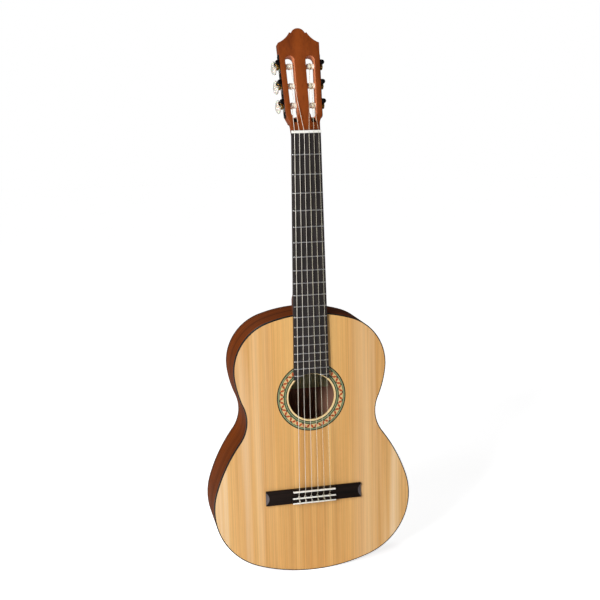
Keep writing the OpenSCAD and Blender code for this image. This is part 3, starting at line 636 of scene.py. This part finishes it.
def make_rosette():
    def ring(name, inner, outer, look, nodes=(), lip=0.0):
        steps = [([round_hole(outer), round_hole(inner + widening)], depth)
                 for widening, depth in ((lip, 0), (0, lip), (0, INLAY_T))]
        piece(name, slab(steps if lip else steps[1:]), look, nodes=nodes)

    ring("rosette_cream_ring", HOLE_R, 46.2, "mosaic_cream", lip=HOLE_LIP)
    ring("rosette_inner_line", 46.2, 47.9, "ring_dark")
    ring("rosette_inner_light", 47.9, 50.0, "ring_light")
    ring("rosette_inner_band", 50.0, 51.6, "ring_inlay", nodes=["rosette_rings"])
    ring("rosette_inner_light_2", 51.6, MOSAIC_IN, "ring_light")
    ring("rosette_ground", MOSAIC_IN, MOSAIC_OUT, "mosaic_inlay", nodes=["rosette_mosaic"])
    ring("rosette_outer_band", MOSAIC_OUT, 60.4, "ring_inlay")
    ring("rosette_outer_light", 60.4, ROSETTE_R - 2, "ring_light")
    ring("rosette_outer_line", ROSETTE_R - 2, ROSETTE_R, "ring_dark")

    def at_angle(radius, turn):
        return (radius * sin(turn), HOLE_Z + radius * cos(turn))

    tiles, leaf_half, leaf_wide, wedge_h, foot = 48, 3.9, 1.95, 2.4, 0.8
    middle = (MOSAIC_IN + MOSAIC_OUT) / 2
    step = 2 * pi / tiles
    edge = [(t * leaf_half, leaf_wide * (1 - t * t) ** 0.8) for t in (i / 6 for i in range(-6, 7))]
    leaf = edge + [(u, -v) for u, v in edge[-2:0:-1]]
    leaves, wedges = [], []
    for k in range(tiles):
        lean = radians(33 if k % 2 else -33)
        shape = []
        for u, v in leaf:
            out = u * cos(lean) - v * sin(lean)
            over = u * sin(lean) + v * cos(lean)
            shape.append(at_angle(middle + out, k * step + over / middle))
        leaves.append(slab([([shape], -0.03), ([shape], foot)]))
        # Neighbouring leaves lean together at one rim, and a wedge fills the open side
        base, tip = (MOSAIC_IN, MOSAIC_IN + wedge_h) if k % 2 else (MOSAIC_OUT, MOSAIC_OUT - wedge_h)
        turn = (k - 0.5) * step
        wedge = [at_angle(base, turn + step * share) for share in (-0.3, 0, 0.3)] + [at_angle(tip, turn)]
        wedges.append(slab([([wedge], -0.02), ([wedge], foot)]))
    piece("rosette_leaves", joined(*leaves), "mosaic_orange")
    piece("rosette_wedges", joined(*wedges), "ring_inlay")


# --- Neck and fingerboard ---
BOARD_T = 6.3
FRETS = 19
BOARD_END_Z = 371
BOARD_FLARE = 10        # how much wider the board is at the 12th fret than at the nut
HEEL_Z = BODY_LEN + 18
HEEL_CURVE = 60
HEEL_DEPTH = 112
HEEL_CAP_T = 2.5
HEEL_TAPER = 0.42       # share of its width that the heel loses towards its cap
DEPTH_NUT, DEPTH_HEEL = 21, 23.5
THROAT_HALF = 26.8


def board_w(z):
    return 2 * NUT_HALF + BOARD_FLARE * (NUT_Z - z) / (SCALE / 2)


def head_point(x, y, s):
    """Place in the body's frame of a point drawn in the head's own frame."""
    return LEAN @ Vector((x, y, s))


def neck_blank(sides=48):
    """Loft of the neck and its heel, before its ends are cut."""
    def section(z, depth):
        return [(board_w(z) / 2 * cos(t) * (1 - HEEL_TAPER * min(1, depth * sin(t) / HEEL_DEPTH)),
                 depth * sin(t), z) for t in (pi * j / sides for j in range(sides + 1))]

    def throat(s, squareness):
        points = []
        for t in (pi * j / sides for j in range(sides + 1)):
            c = cos(t)
            wide = copysign(abs(c) ** squareness, c)
            points.append(head_point(THROAT_HALF * wide, HEAD_T * max(0, sin(t)) ** squareness, s))
        return points

    shaft_z, top = HEEL_Z + HEEL_CURVE, HEAD_Z - 10
    curve = [radians(a) for a in range(3, 90, 3)]
    return skin([section(BODY_LEN - 12, HEEL_DEPTH), section(HEEL_Z, HEEL_DEPTH)]
                + [section(HEEL_Z + HEEL_CURVE * (1 - cos(a)),
                           DEPTH_HEEL + (HEEL_DEPTH - DEPTH_HEEL) * (1 - sin(a))) for a in curve]
                + [section(shaft_z + (top - shaft_z) * i / 8, DEPTH_HEEL + (DEPTH_NUT - DEPTH_HEEL) * i / 8)
                   for i in range(9)]
                + [throat(7, 0.6), throat(14, 0.3)])


def back_slab(front, back):
    """Wide slab that lies between two depths in front of the back's outside."""
    square = [(-200, -50), (200, -50), (200, 900), (-200, 900)]
    return slab([([square], front), ([square], back)], behind)


def make_neck():
    end_arc = [tuple(p) for p in around(end_c, END_R, pi * 0.35, pi * 0.65, radians(0.5))]
    body_end = end_arc + [(-150, 300), (150, 300)]
    tongue = moved(block((-60, -60, 0), (60, 6, 60), 0.01, 1), LEAN)

    def trimmed(*cutters):
        """The blank cut back to the end of the body, less the cutters."""
        return cut(neck_blank(), slab([([body_end], -20), ([body_end], 160)]), *cutters)

    piece("neck", trimmed(back_slab(HEEL_CAP_T, -60), tongue), "neck_wood", nodes=["neck"])
    piece("heel_cap", trimmed(back_slab(0, -60), back_slab(200, HEEL_CAP_T)), "ebony", nodes=["heel_cap"])


def fret_z(n):
    return NUT_Z - SCALE * (1 - 2 ** (-n / 12))


def make_fingerboard():
    scoop_r = HOLE_R + 2
    turn = acos((BOARD_END_Z - HOLE_Z) / scoop_r)
    scoop = [(scoop_r * sin(a), HOLE_Z + scoop_r * cos(a))
             for a in (turn - 2 * turn * i / 32 for i in range(33))]
    end_half = board_w(BOARD_END_Z) / 2
    left, right = (-end_half, BOARD_END_Z), (end_half, BOARD_END_Z)
    board = [(NUT_HALF, NUT_Z), (-NUT_HALF, NUT_Z), left, *scoop[::-1], right]
    piece("fingerboard", plaque(board, [], -BOARD_T, 0, 0.35), "ebony", nodes=["fingerboard"])
    crowns = []
    for n in range(1, FRETS + 1):
        z = fret_z(n)
        half = board_w(z) / 2 - 0.4
        gap = sqrt(scoop_r ** 2 - (z - HOLE_Z) ** 2) + 0.2 if n == FRETS else 0
        for low, high in ([(-half, -gap), (gap, half)] if gap else [(-half, half)]):
            crowns.append(fret_crown(low, high, z))
    piece("frets", joined(*crowns), "fret_metal", nodes=["frets"])


def fret_crown(low, high, z):
    """Half-round wire with its ends filed at a slant."""
    rings = []
    for x, share in ((low, 0.25), (low + 0.3, 0.7), (low + 0.9, 1),
                     (high - 0.9, 1), (high - 0.3, 0.7), (high, 0.25)):
        arch = [(x, -BOARD_T - share * sin(t), z + 1.1 * cos(t))
                for t in (pi * j / 10 for j in range(11))]
        rings.append([(x, -BOARD_T + 0.6, z + 1.1)] + arch + [(x, -BOARD_T + 0.6, z - 1.1)])
    return skin(rings)


# --- Strings and bridge, with y and z in the body's frame ---
SPREAD_NUT, SPREAD_SADDLE = 43, 58.5
STRING_D = (0.7, 0.82, 1.02, 0.76, 0.9, 1.1)
FACET = 0.01        # keeps the facets of a string inside those of its CAD solid
SADDLE_Z = 160.0
NUT_Y = -8.3
SADDLE_Y = -12.6
STRING_HOLE_Y = -4.6
TIE_TOP = BRIDGE_Z + 12
BLOCK_Y = -8.5
CAP_W = 2.6
GAP = 0.02          # between the top and the parts that stand on it
ROLLER_S, ROLLER_PITCH, ROLLER_Y, ROLLER_R = 45.5, 35, 10, 5


def side_of(n):
    return 1 if n <= 3 else -1


def rank_of(n):
    return n - 1 if n <= 3 else 6 - n


def roller_s(n):
    return ROLLER_S + rank_of(n) * ROLLER_PITCH


def wrap_x(n):
    """Where the string winds on its roller."""
    return (20, 18.5, 17.5)[rank_of(n)]


def string_x(n, z):
    share = (NUT_Z - z) / SCALE
    return (3.5 - n) / 5 * (SPREAD_NUT * (1 - share) + SPREAD_SADDLE * share)


def string_look(n):
    return "nylon" if n <= 3 else "wound_string"


def make_string(n):
    """Taut string from its roller to the tie block, where it loops back round itself."""
    r = STRING_D[n - 1] / 2 - FACET
    x = string_x(n, SADDLE_Z)
    lift = r + 0.15
    over = BLOCK_Y - lift
    taut = [head_point(side_of(n) * wrap_x(n), ROLLER_Y - ROLLER_R - 0.1 - r, roller_s(n)),
            Vector((string_x(n, NUT_Z), NUT_Y, NUT_Z + NUT_T / 2)), Vector((x, SADDLE_Y, SADDLE_Z))]
    loop = [(x, STRING_HOLE_Y, TIE_TOP + 0.4), (x, STRING_HOLE_Y, BRIDGE_Z - lift),
            (x, over, BRIDGE_Z - lift), (x + 0.6, over, TIE_TOP - 1), (x + 1.6, over + 0.4, TIE_TOP + 1.6),
            (x + 0.2, over + 2.2, TIE_TOP + 2.4), (x - 1.8, over + 1.2, TIE_TOP + 1.8),
            (x - 1.5, over - r, TIE_TOP - 1.5), (x + 1.9, over - r * 1.6, TIE_TOP - 6.5),
            (x + 2.2, over, BRIDGE_Z + 1.5), (x + 2.3, over + 1.2, BRIDGE_Z - 1.2)]
    wire = tube(softened([*taut, *loop], 1.6), r, sides=14)
    piece(f"string_{n}", wire, string_look(n), nodes=[f"string_{n}"], crease=60)


# --- Nut, bridge and saddle ---
def make_nut():
    nut = block((-NUT_HALF, NUT_Y - 0.5, NUT_Z), (NUT_HALF, -GAP, NUT_Z + NUT_T), 0.7, 3)
    notches = []
    for n in range(1, 7):
        r = STRING_D[n - 1] / 2 + 0.05
        across = Matrix.Translation((string_x(n, NUT_Z), NUT_Y, NUT_Z + NUT_T / 2))
        notches.append(moved(lathe([(-4, r), (4, r)], 16), across @ Matrix.Rotation(pi / 2, 4, "Y")))
        notches.append(moved(block((-r, -3, -4), (r, 0, 4), 0.01, 1), across))
    piece("nut", cut(nut, *notches), "bone", nodes=["nut"])


def make_bridge():
    ridge, root, top = 41.0, 0.6 - WING_T, BRIDGE_Z + BRIDGE_H
    scoops = []
    for sign in (-1, 1):
        ball = bmesh.new()
        bmesh.ops.create_uvsphere(ball, u_segments=96, v_segments=64, radius=SCOOP_R)
        place = Vector((sign * scoop_place.x, scoop_place.y, scoop_place.z))
        scoops.append(moved(ball, Matrix.Translation(place)))
    wings = cut(block((-BRIDGE_HALF, -WING_T, BRIDGE_Z), (BRIDGE_HALF, -GAP, top), 0.5), *scoops)
    seat = block((-ridge - 1, -14, SADDLE_Z - 1.3), (ridge + 1, -4, SADDLE_Z + 1.3), 0.01, 1)
    holder = cut(block((-ridge, BLOCK_Y, top - 7), (ridge, root, top), 0.7, 3), seat)
    drills = [moved(lathe([(-14, 0.9), (14, 0.9)], 16),
                    Matrix.Translation((string_x(n, SADDLE_Z), STRING_HOLE_Y, BRIDGE_Z + 6))
                    @ Matrix.Rotation(pi / 2, 4, "Y")) for n in range(1, 7)]
    beds = [block((-ridge - 1, -10, z), (ridge + 1, BLOCK_Y + 1.4, z + CAP_W), 0.01, 1)
            for z in (BRIDGE_Z - 0.01, TIE_TOP - CAP_W + 0.01)]
    tie_block = cut(block((-ridge, BLOCK_Y, BRIDGE_Z), (ridge, root, TIE_TOP), 0.5), *drills, *beds)
    piece("bridge", joined(wings, holder, tie_block), "bridge_wood", nodes=["bridge"])
    saddle = block((-ridge + 1, SADDLE_Y + 0.25, SADDLE_Z - 1.25), (ridge - 1, -4.1, SADDLE_Z + 1.25), 0.8, 4)
    piece("saddle", saddle, "bone", nodes=["saddle"])
    caps = [block((-ridge, BLOCK_Y - 0.1, z), (ridge, BLOCK_Y + 1.4, z + CAP_W), 0.35)
            for z in (BRIDGE_Z, TIE_TOP - CAP_W)]
    piece("tie_block_caps", joined(*caps), "bone", nodes=["tie_block_caps"])


# --- Head ---
def head_side(s):
    return HEAD_HALF + (s - REF_S) * tan(SIDE_ANGLE)


def arc_between(a, b, r, steps=14):
    """Arc from a to b that bulges to the right of the way there when r > 0."""
    a, b = Vector(a), Vector(b)
    d = (b - a).length
    u = (b - a) / d
    centre = (a + b) / 2 - copysign(sqrt(r * r - d * d / 4), r) * Vector((u.y, -u.x))
    start, turn = turn_of(a - centre), copysign(2 * asin(d / (2 * abs(r))), r)
    return [tuple(centre + abs(r) * Vector((cos(angle), sin(angle))))
            for angle in (start + turn * i / steps for i in range(steps + 1))]


def head_outline():
    """The whole head, clockwise from the throat on the treble side."""
    lobe, horn, corner, length = (12.6, 174), (15.7, 175), 156.6, 182.5
    rise = length - lobe[1]
    bend = (29.4, 20)
    flare = arc_between((THROAT_HALF, 11), bend, -16)[:-1] + arc_between(bend, (head_side(29), 29), 24)
    right = [(THROAT_HALF - 0.4, 0.4)] + flare + arc_between((head_side(corner), corner), horn, -42)
    crown = arc_between(lobe, (-lobe[0], lobe[1]), (lobe[0] ** 2 + rise ** 2) / (2 * rise), 28)
    return right + crown + [(-x, s) for x, s in right[::-1]]


def slot_outline(sign):
    low, high, inner, wall = 31.5, 125, 10, 9.4
    r_low, r_high = ((head_side(s) - wall - inner) / 2 for s in (low, high))
    low_c, high_c = Vector((inner + r_low, low)), Vector((inner + r_high, high))
    loop = (around(low_c, r_low, pi, 2 * pi, radians(7.5)) + [low_c + Vector((r_low, 0))]
            + around(high_c, r_high, 0, pi, radians(7.5)) + [high_c - Vector((r_high, 0))])
    return [(sign * p.x, p.y) for p in loop]


def make_head():
    blank = plaque(head_outline(), [slot_outline(1), slot_outline(-1)], 0, HEAD_T, 0.6)
    # The strings run down a ramp from the face of the head to each slot
    ramps = []
    start, inner, outer = 13.5, 11.6, 21
    slope = Matrix.Translation((0, 0, start)) @ Matrix.Rotation(radians(-40), 4, "X")
    for sign, side in ((-1, "bass"), (1, "treble")):
        low, high = sorted((sign * inner, sign * outer))
        ramps.append(moved(block((low, -25, 0), (high, 0, 25), 1.2, 3), slope))
        # A thin dark liner on the floor of each ramp is painted shade: it darkens the ramp as if in deep
        # shadow
        bed = block((low + 0.3, -0.25, 0.8), (high - 0.3, 0.3, 12.5), 0.1, 1)
        piece(f"string_ramp_shade_{side}", moved(bed, slope), "painted_shade_wood", HEAD)
    foot = block((-60, 6, -5), (60, 60, 14), 0.01, 1)
    piece("headstock", cut(blank, *ramps, foot), "head_wood", HEAD, nodes=["headstock"])


# Machine heads: a plate on each side of the head, with three worms held in pairs of ears
PLATE_FACE = HEAD_HALF + 1.2
CORE_R, SHAFT_R = 2.5, 1.3      # of a roller's core and of a worm's shaft
EAR_T = 2.4
EAR_HALF = 4.2
EAR_YS = (2.6, 15.1)
WORM_X = PLATE_FACE + 3.1
GEAR_R = 4.9
WORM_UP = GEAR_R + 2.2
TEETH = 14
LEAD = 2 * pi * GEAR_R / TEETH
BUTTON_Y = 26


def outward(u, v, w):
    """Place of a point of an outline that is drawn on the side of the head."""
    return (w, u, v)


def make_plate(sign):
    """Machine plate with rounded ends, its screws and its three pairs of bearing ears. The bass side's screws
    and ears stand for the nodes that hold those of both sides."""
    name = "treble" if sign > 0 else "bass"
    low, high, half, y = 24, 138, 7, ROLLER_Y
    half_turn = [pi * i / 16 for i in range(17)]
    ends = [(y + half * cos(a), high - 3.5 + 3.5 * sin(a)) for a in half_turn]
    feet = [(y - half * cos(a), low + 3.5 - 3.5 * sin(a)) for a in half_turn]
    bores = [circle(CORE_R + 0.1, (y, ROLLER_S + k * ROLLER_PITCH), 32) for k in range(3)]
    place = OUTWARD[sign]
    plate = plaque(ends + feet, bores, HEAD_HALF, PLATE_FACE, 0.3, outward)
    piece(f"plate_{name}", plate, "dark_metal", place, nodes=[f"plate_{name}"])
    screws = []
    for s in (31, 65.3, 100.3, 132):
        dome = [(PLATE_FACE + out, r) for out, r in
                ((-0.6, 1.2), (0, 2.4), (0.5, 2.35), (0.95, 1.8), (1.25, 0.9), (1.3, 0.1))]
        screw = moved(lathe(dome, 32), Matrix.Translation((0, y, s)))
        slot = block((PLATE_FACE + 0.7, y - 3, s - 0.3), (PLATE_FACE + 3, y + 3, s + 0.3), 0.01, 1)
        screws.append(cut(screw, slot))
    piece(f"plate_screws_{name}", joined(*screws), "screw_metal", place,
          nodes=["plate_screws"] if sign < 0 else [])
    ears = []
    for k in range(3):
        s = ROLLER_S + k * ROLLER_PITCH + WORM_UP
        tip = [(WORM_X + EAR_HALF * sin(a), s - EAR_HALF * cos(a)) for a in half_turn]
        foot = [(PLATE_FACE, s + EAR_HALF), (PLATE_FACE, s - EAR_HALF)]
        bore = circle(SHAFT_R + 0.06, (WORM_X, s), 24)
        ears += [plaque(tip + foot, [bore], front, front + EAR_T, 0.35) for front in EAR_YS]
    piece(f"worm_saddles_{name}", joined(*ears), "dark_metal", place,
          nodes=["worm_saddles"] if sign < 0 else [])


def make_barrel(n):
    """Roller with its steel core, its turns of string and its gear."""
    body, place = f"barrel_{n}", OUTWARD[side_of(n)]
    axis = Matrix.Translation((0, ROLLER_Y, roller_s(n)))
    waist, wound = 4.8, 4.4     # radius under the turns of string, and the width that they fill
    sleeve = [(11.9, CORE_R), (11.9, 4.7), (12.2, 5), (13.1, 5), (13.3, waist), (23.2, waist), (23.4, 5),
              (24.2, 5), (24.5, 4.7), (24.5, CORE_R)]
    piece(f"roller_{n}", moved(lathe(sleeve, 48), axis), "roller_plastic", place, body, [f"roller_{n}"])
    core = [(6, 2.2), (6.3, CORE_R), (WORM_X + 1.2, CORE_R), (WORM_X + 1.3, 2.4)]
    piece(f"roller_core_{n}", moved(lathe(core, 32), axis), "core_steel", place, body)
    r = STRING_D[n - 1] / 2
    pitch = 2 * r + 0.06
    turns = floor((wound - 2 * r) / pitch * 4) / 4
    start = wrap_x(n) - turns * pitch / 2
    coil = [(start + pitch * turns * t, -(waist + r) * cos(a), (waist + r) * sin(a))
            for t, a in ((i / 120, 2 * pi * turns * i / 120) for i in range(121))]
    piece(f"string_turns_{n}", moved(tube(coil, r, 10), axis), string_look(n), place, body, crease=60)

    tooth = [(4.1, -9.5), (4.15, -6.9), (5.2, -4.4), (5.6, -3.1), (5.6, 3.1), (5.2, 4.4), (4.15, 6.9)]
    wheel = []
    for k in range(TEETH):
        for radius, turn in tooth:
            a = radians((k + 0.5) * 360 / TEETH + turn + 90)
            wheel.append((radius * cos(a), radius * sin(a)))
    gear = plaque(wheel, [], WORM_X - 1.3, WORM_X + 1.3, 0.15, outward)
    hub = lathe([(HEAD_HALF + 1.4, 3.5), (HEAD_HALF + 1.5, 3.6), (WORM_X - 1, 3.6)], 32)
    piece(f"gear_{n}", moved(joined(gear, hub), axis), "brass_gear", place, body, [f"gear_{n}"])
    face = WORM_X + 1.3
    dome = lathe([(face - 0.1, 2.2), (face, 2.4), (face + 0.6, 2.3), (face + 1, 1.5), (face + 1.1, 0.1)], 32)
    screw = cut(dome, block((face + 0.6, -3, -0.3), (face + 3, 3, 0.3), 0.01, 1))
    piece(f"gear_screw_{n}", moved(screw, axis), "core_steel", place, body)


def make_key(n):
    """Worm on its shaft, and the button that turns it."""
    sign, body = side_of(n), f"key_{n}"
    place = side_frame(sign)
    axis = Matrix.Translation((sign * WORM_X, ROLLER_Y, roller_s(n) + WORM_UP))
    front, end = EAR_YS[0] - ROLLER_Y, BUTTON_Y + 7 - ROLLER_Y
    shaft = lathe([(front - 0.4, 1.1), (front - 0.2, SHAFT_R), (end, SHAFT_R)], 24, axis="y")
    steps = 24
    count = round(8 / LEAD * steps / 2)
    rings = []
    for i in range(-count, count + 1):
        a = 2 * pi * i / steps
        tip = 1.35 + 1.4 * min(1, (count - abs(i)) / 8)
        section = [(1.1, 0.62), (tip, 0.24), (tip, -0.24), (1.1, -0.62)]
        rings.append([(-r * sin(a), LEAD * i / steps + up, -r * cos(a)) for r, up in section])
    piece(f"worm_{n}", moved(joined(shaft, skin(rings)), axis), "brass_gear", place, body, [f"worm_{n}"])
    dome = [(front - 0.1 - out, r) for out, r in
            ((0, 3.7), (0.25, 3.9), (0.6, 3.8), (0.95, 3.1), (1.15, 1.8), (1.2, 0.1))]
    piece(f"worm_cap_{n}", moved(lathe(dome, 40, axis="y"), axis), "dark_metal", place, body)
    profile = [(0, 2.4), (0.4, 2.7), (2, 3.1), (3.2, 5.4), (4.6, 8.2), (7, 11.1), (10, 12.3), (12.5, 12.4),
               (15.5, 11.5), (18.2, 9.4), (20.3, 6), (21.5, 3), (21.95, 0.4)]
    rings = []
    button_t, neck_end = 4.15, 3
    for along, wide in profile:
        thick = min(button_t, wide if along < neck_end else 1.4 + wide * 0.44)
        rings.append([(thick * copysign(abs(c) ** 0.75, c), along,
                       wide * copysign(abs(s) ** 0.9, s)) for c, s in circle(1, count=40)])
    hold = Matrix.Translation((sign * WORM_X, BUTTON_Y, roller_s(n) + WORM_UP))
    button = piece(f"button_{n}", moved(skin(rings), hold), "pearl_button", place, body, [f"button_{n}"],
                   crease=70)
    soft = button.modifiers.new("smooth", "SUBSURF")
    soft.levels = soft.render_levels = 1


# --- Inside the body: the solids that CAD made, with their looks ---
def dress_inside():
    looks = {"neck_block": "cedar_block", "tail_block": "cedar_block", "top_linings": "cedar_block",
             "back_linings": "cedar_block", "fan_braces": "spruce_brace", "top_bars": "spruce_brace",
             "bridge_patch": "spruce_brace", "back_bars": "spruce_brace", "label": "paper_label"}
    for name, look in looks.items():
        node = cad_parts[name]
        node.data.materials.clear()
        node.data.materials.append(LOOKS[look])


# --- Camera, lights and floor ---
def make_camera():
    """The photographer stood a little to the bass side and above, and the picture leans slightly. The numbers
    follow from the heights of the frets and the saddle."""
    azimuth, elevation, roll = (radians(a) for a in (-12.283, 10.244, -1.361))
    away = Vector((sin(azimuth) * cos(elevation), -cos(azimuth) * cos(elevation),
                   sin(elevation)))
    right = (-away).cross(Vector((0, 0, 1))).normalized()
    up = right.cross(-away)
    right, up = (cos(roll) * right + sin(roll) * up, -sin(roll) * right + cos(roll) * up)
    data = bpy.data.cameras.new("camera")
    data.lens = 59.967
    data.sensor_width = 36
    data.clip_end = 50
    camera = linked("camera", data)
    turn = Matrix((right, up, away)).transposed().to_4x4()
    camera.matrix_world = Matrix.Translation((-0.39200, -1.76740, 0.83595)) @ turn
    bpy.context.scene.camera = camera


def aimed(data, place, target):
    """Light at a place that shines at a target."""
    turn = (Vector(place) - Vector(target)).to_track_quat("Z", "Y").to_matrix().to_4x4()
    linked(data.name, data).matrix_world = Matrix.Translation(place) @ turn


def softbox(name, place, target, size, watts):
    data = bpy.data.lights.new(name, "AREA")
    data.shape = "RECTANGLE"
    data.size, data.size_y = size
    data.energy = watts
    aimed(data, place, target)


def make_studio():
    sun = bpy.data.lights.new("overhead", "SUN")
    sun.energy = 1.38
    sun.angle = radians(9)
    aimed(sun, (-2.15, -2.3, 1.0), (0, 0, 0))
    softbox("key", (-1.0, -0.9, 1.0), (-0.1, 0, 0.4), (0.6, 1.0), 15)
    softbox("rim", (-0.9, 1.3, 1.9), (0, 0, 0.6), (1.2, 1.2), 9)

    # The room is dim, and its seamless white paper is seen as white
    world = bpy.data.worlds.new("studio")
    world.use_nodes = True
    ground = world.node_tree.nodes["Background"]
    whitened(world.node_tree, ground.inputs["Strength"], 0.07, 1.0)
    ground.inputs["Color"].default_value = (1, 1, 1, 1)
    bpy.context.scene.world = world
    bpy.context.scene.view_settings.view_transform = "Standard"

    mesh = bmesh.new()
    bmesh.ops.create_circle(mesh, cap_ends=True, segments=96, radius=12)
    data = bpy.data.meshes.new("floor")
    mesh.to_mesh(data)
    mesh.free()
    white = srgb(250, 250, 250)
    card = polished("floor", white, srgb(246, 246, 246), 3, 0.8, Emission_Color=white,
                    Specular_IOR_Level=0.1)
    shader = card.node_tree.nodes["Principled BSDF"]
    whitened(card.node_tree, shader.inputs["Emission Strength"], 0.0, 0.85)
    data.materials.append(card)
    linked("floor", data)


def whitened(tree, strength, lit, seen):
    """Gives a strength one level as a light source and another where it is seen directly."""
    path = tree.nodes.new("ShaderNodeLightPath")
    direct = tree.nodes.new("ShaderNodeMath")
    direct.operation = "MAXIMUM"
    tree.links.new(path.outputs["Is Camera Ray"], direct.inputs[0])
    tree.links.new(path.outputs["Is Transmission Ray"], direct.inputs[1])
    level = tree.nodes.new("ShaderNodeMapRange")
    level.inputs["To Min"].default_value = lit
    level.inputs["To Max"].default_value = seen
    tree.links.new(direct.outputs[0], level.inputs["Value"])
    tree.links.new(level.outputs["Result"], strength)


make_body()
make_rosette()
make_neck()
make_fingerboard()
make_nut()
make_bridge()
make_head()
for side in (-1, 1):
    make_plate(side)
for number in range(1, 7):
    make_string(number)
    make_barrel(number)
    make_key(number)
dress_inside()
make_camera()
make_studio()
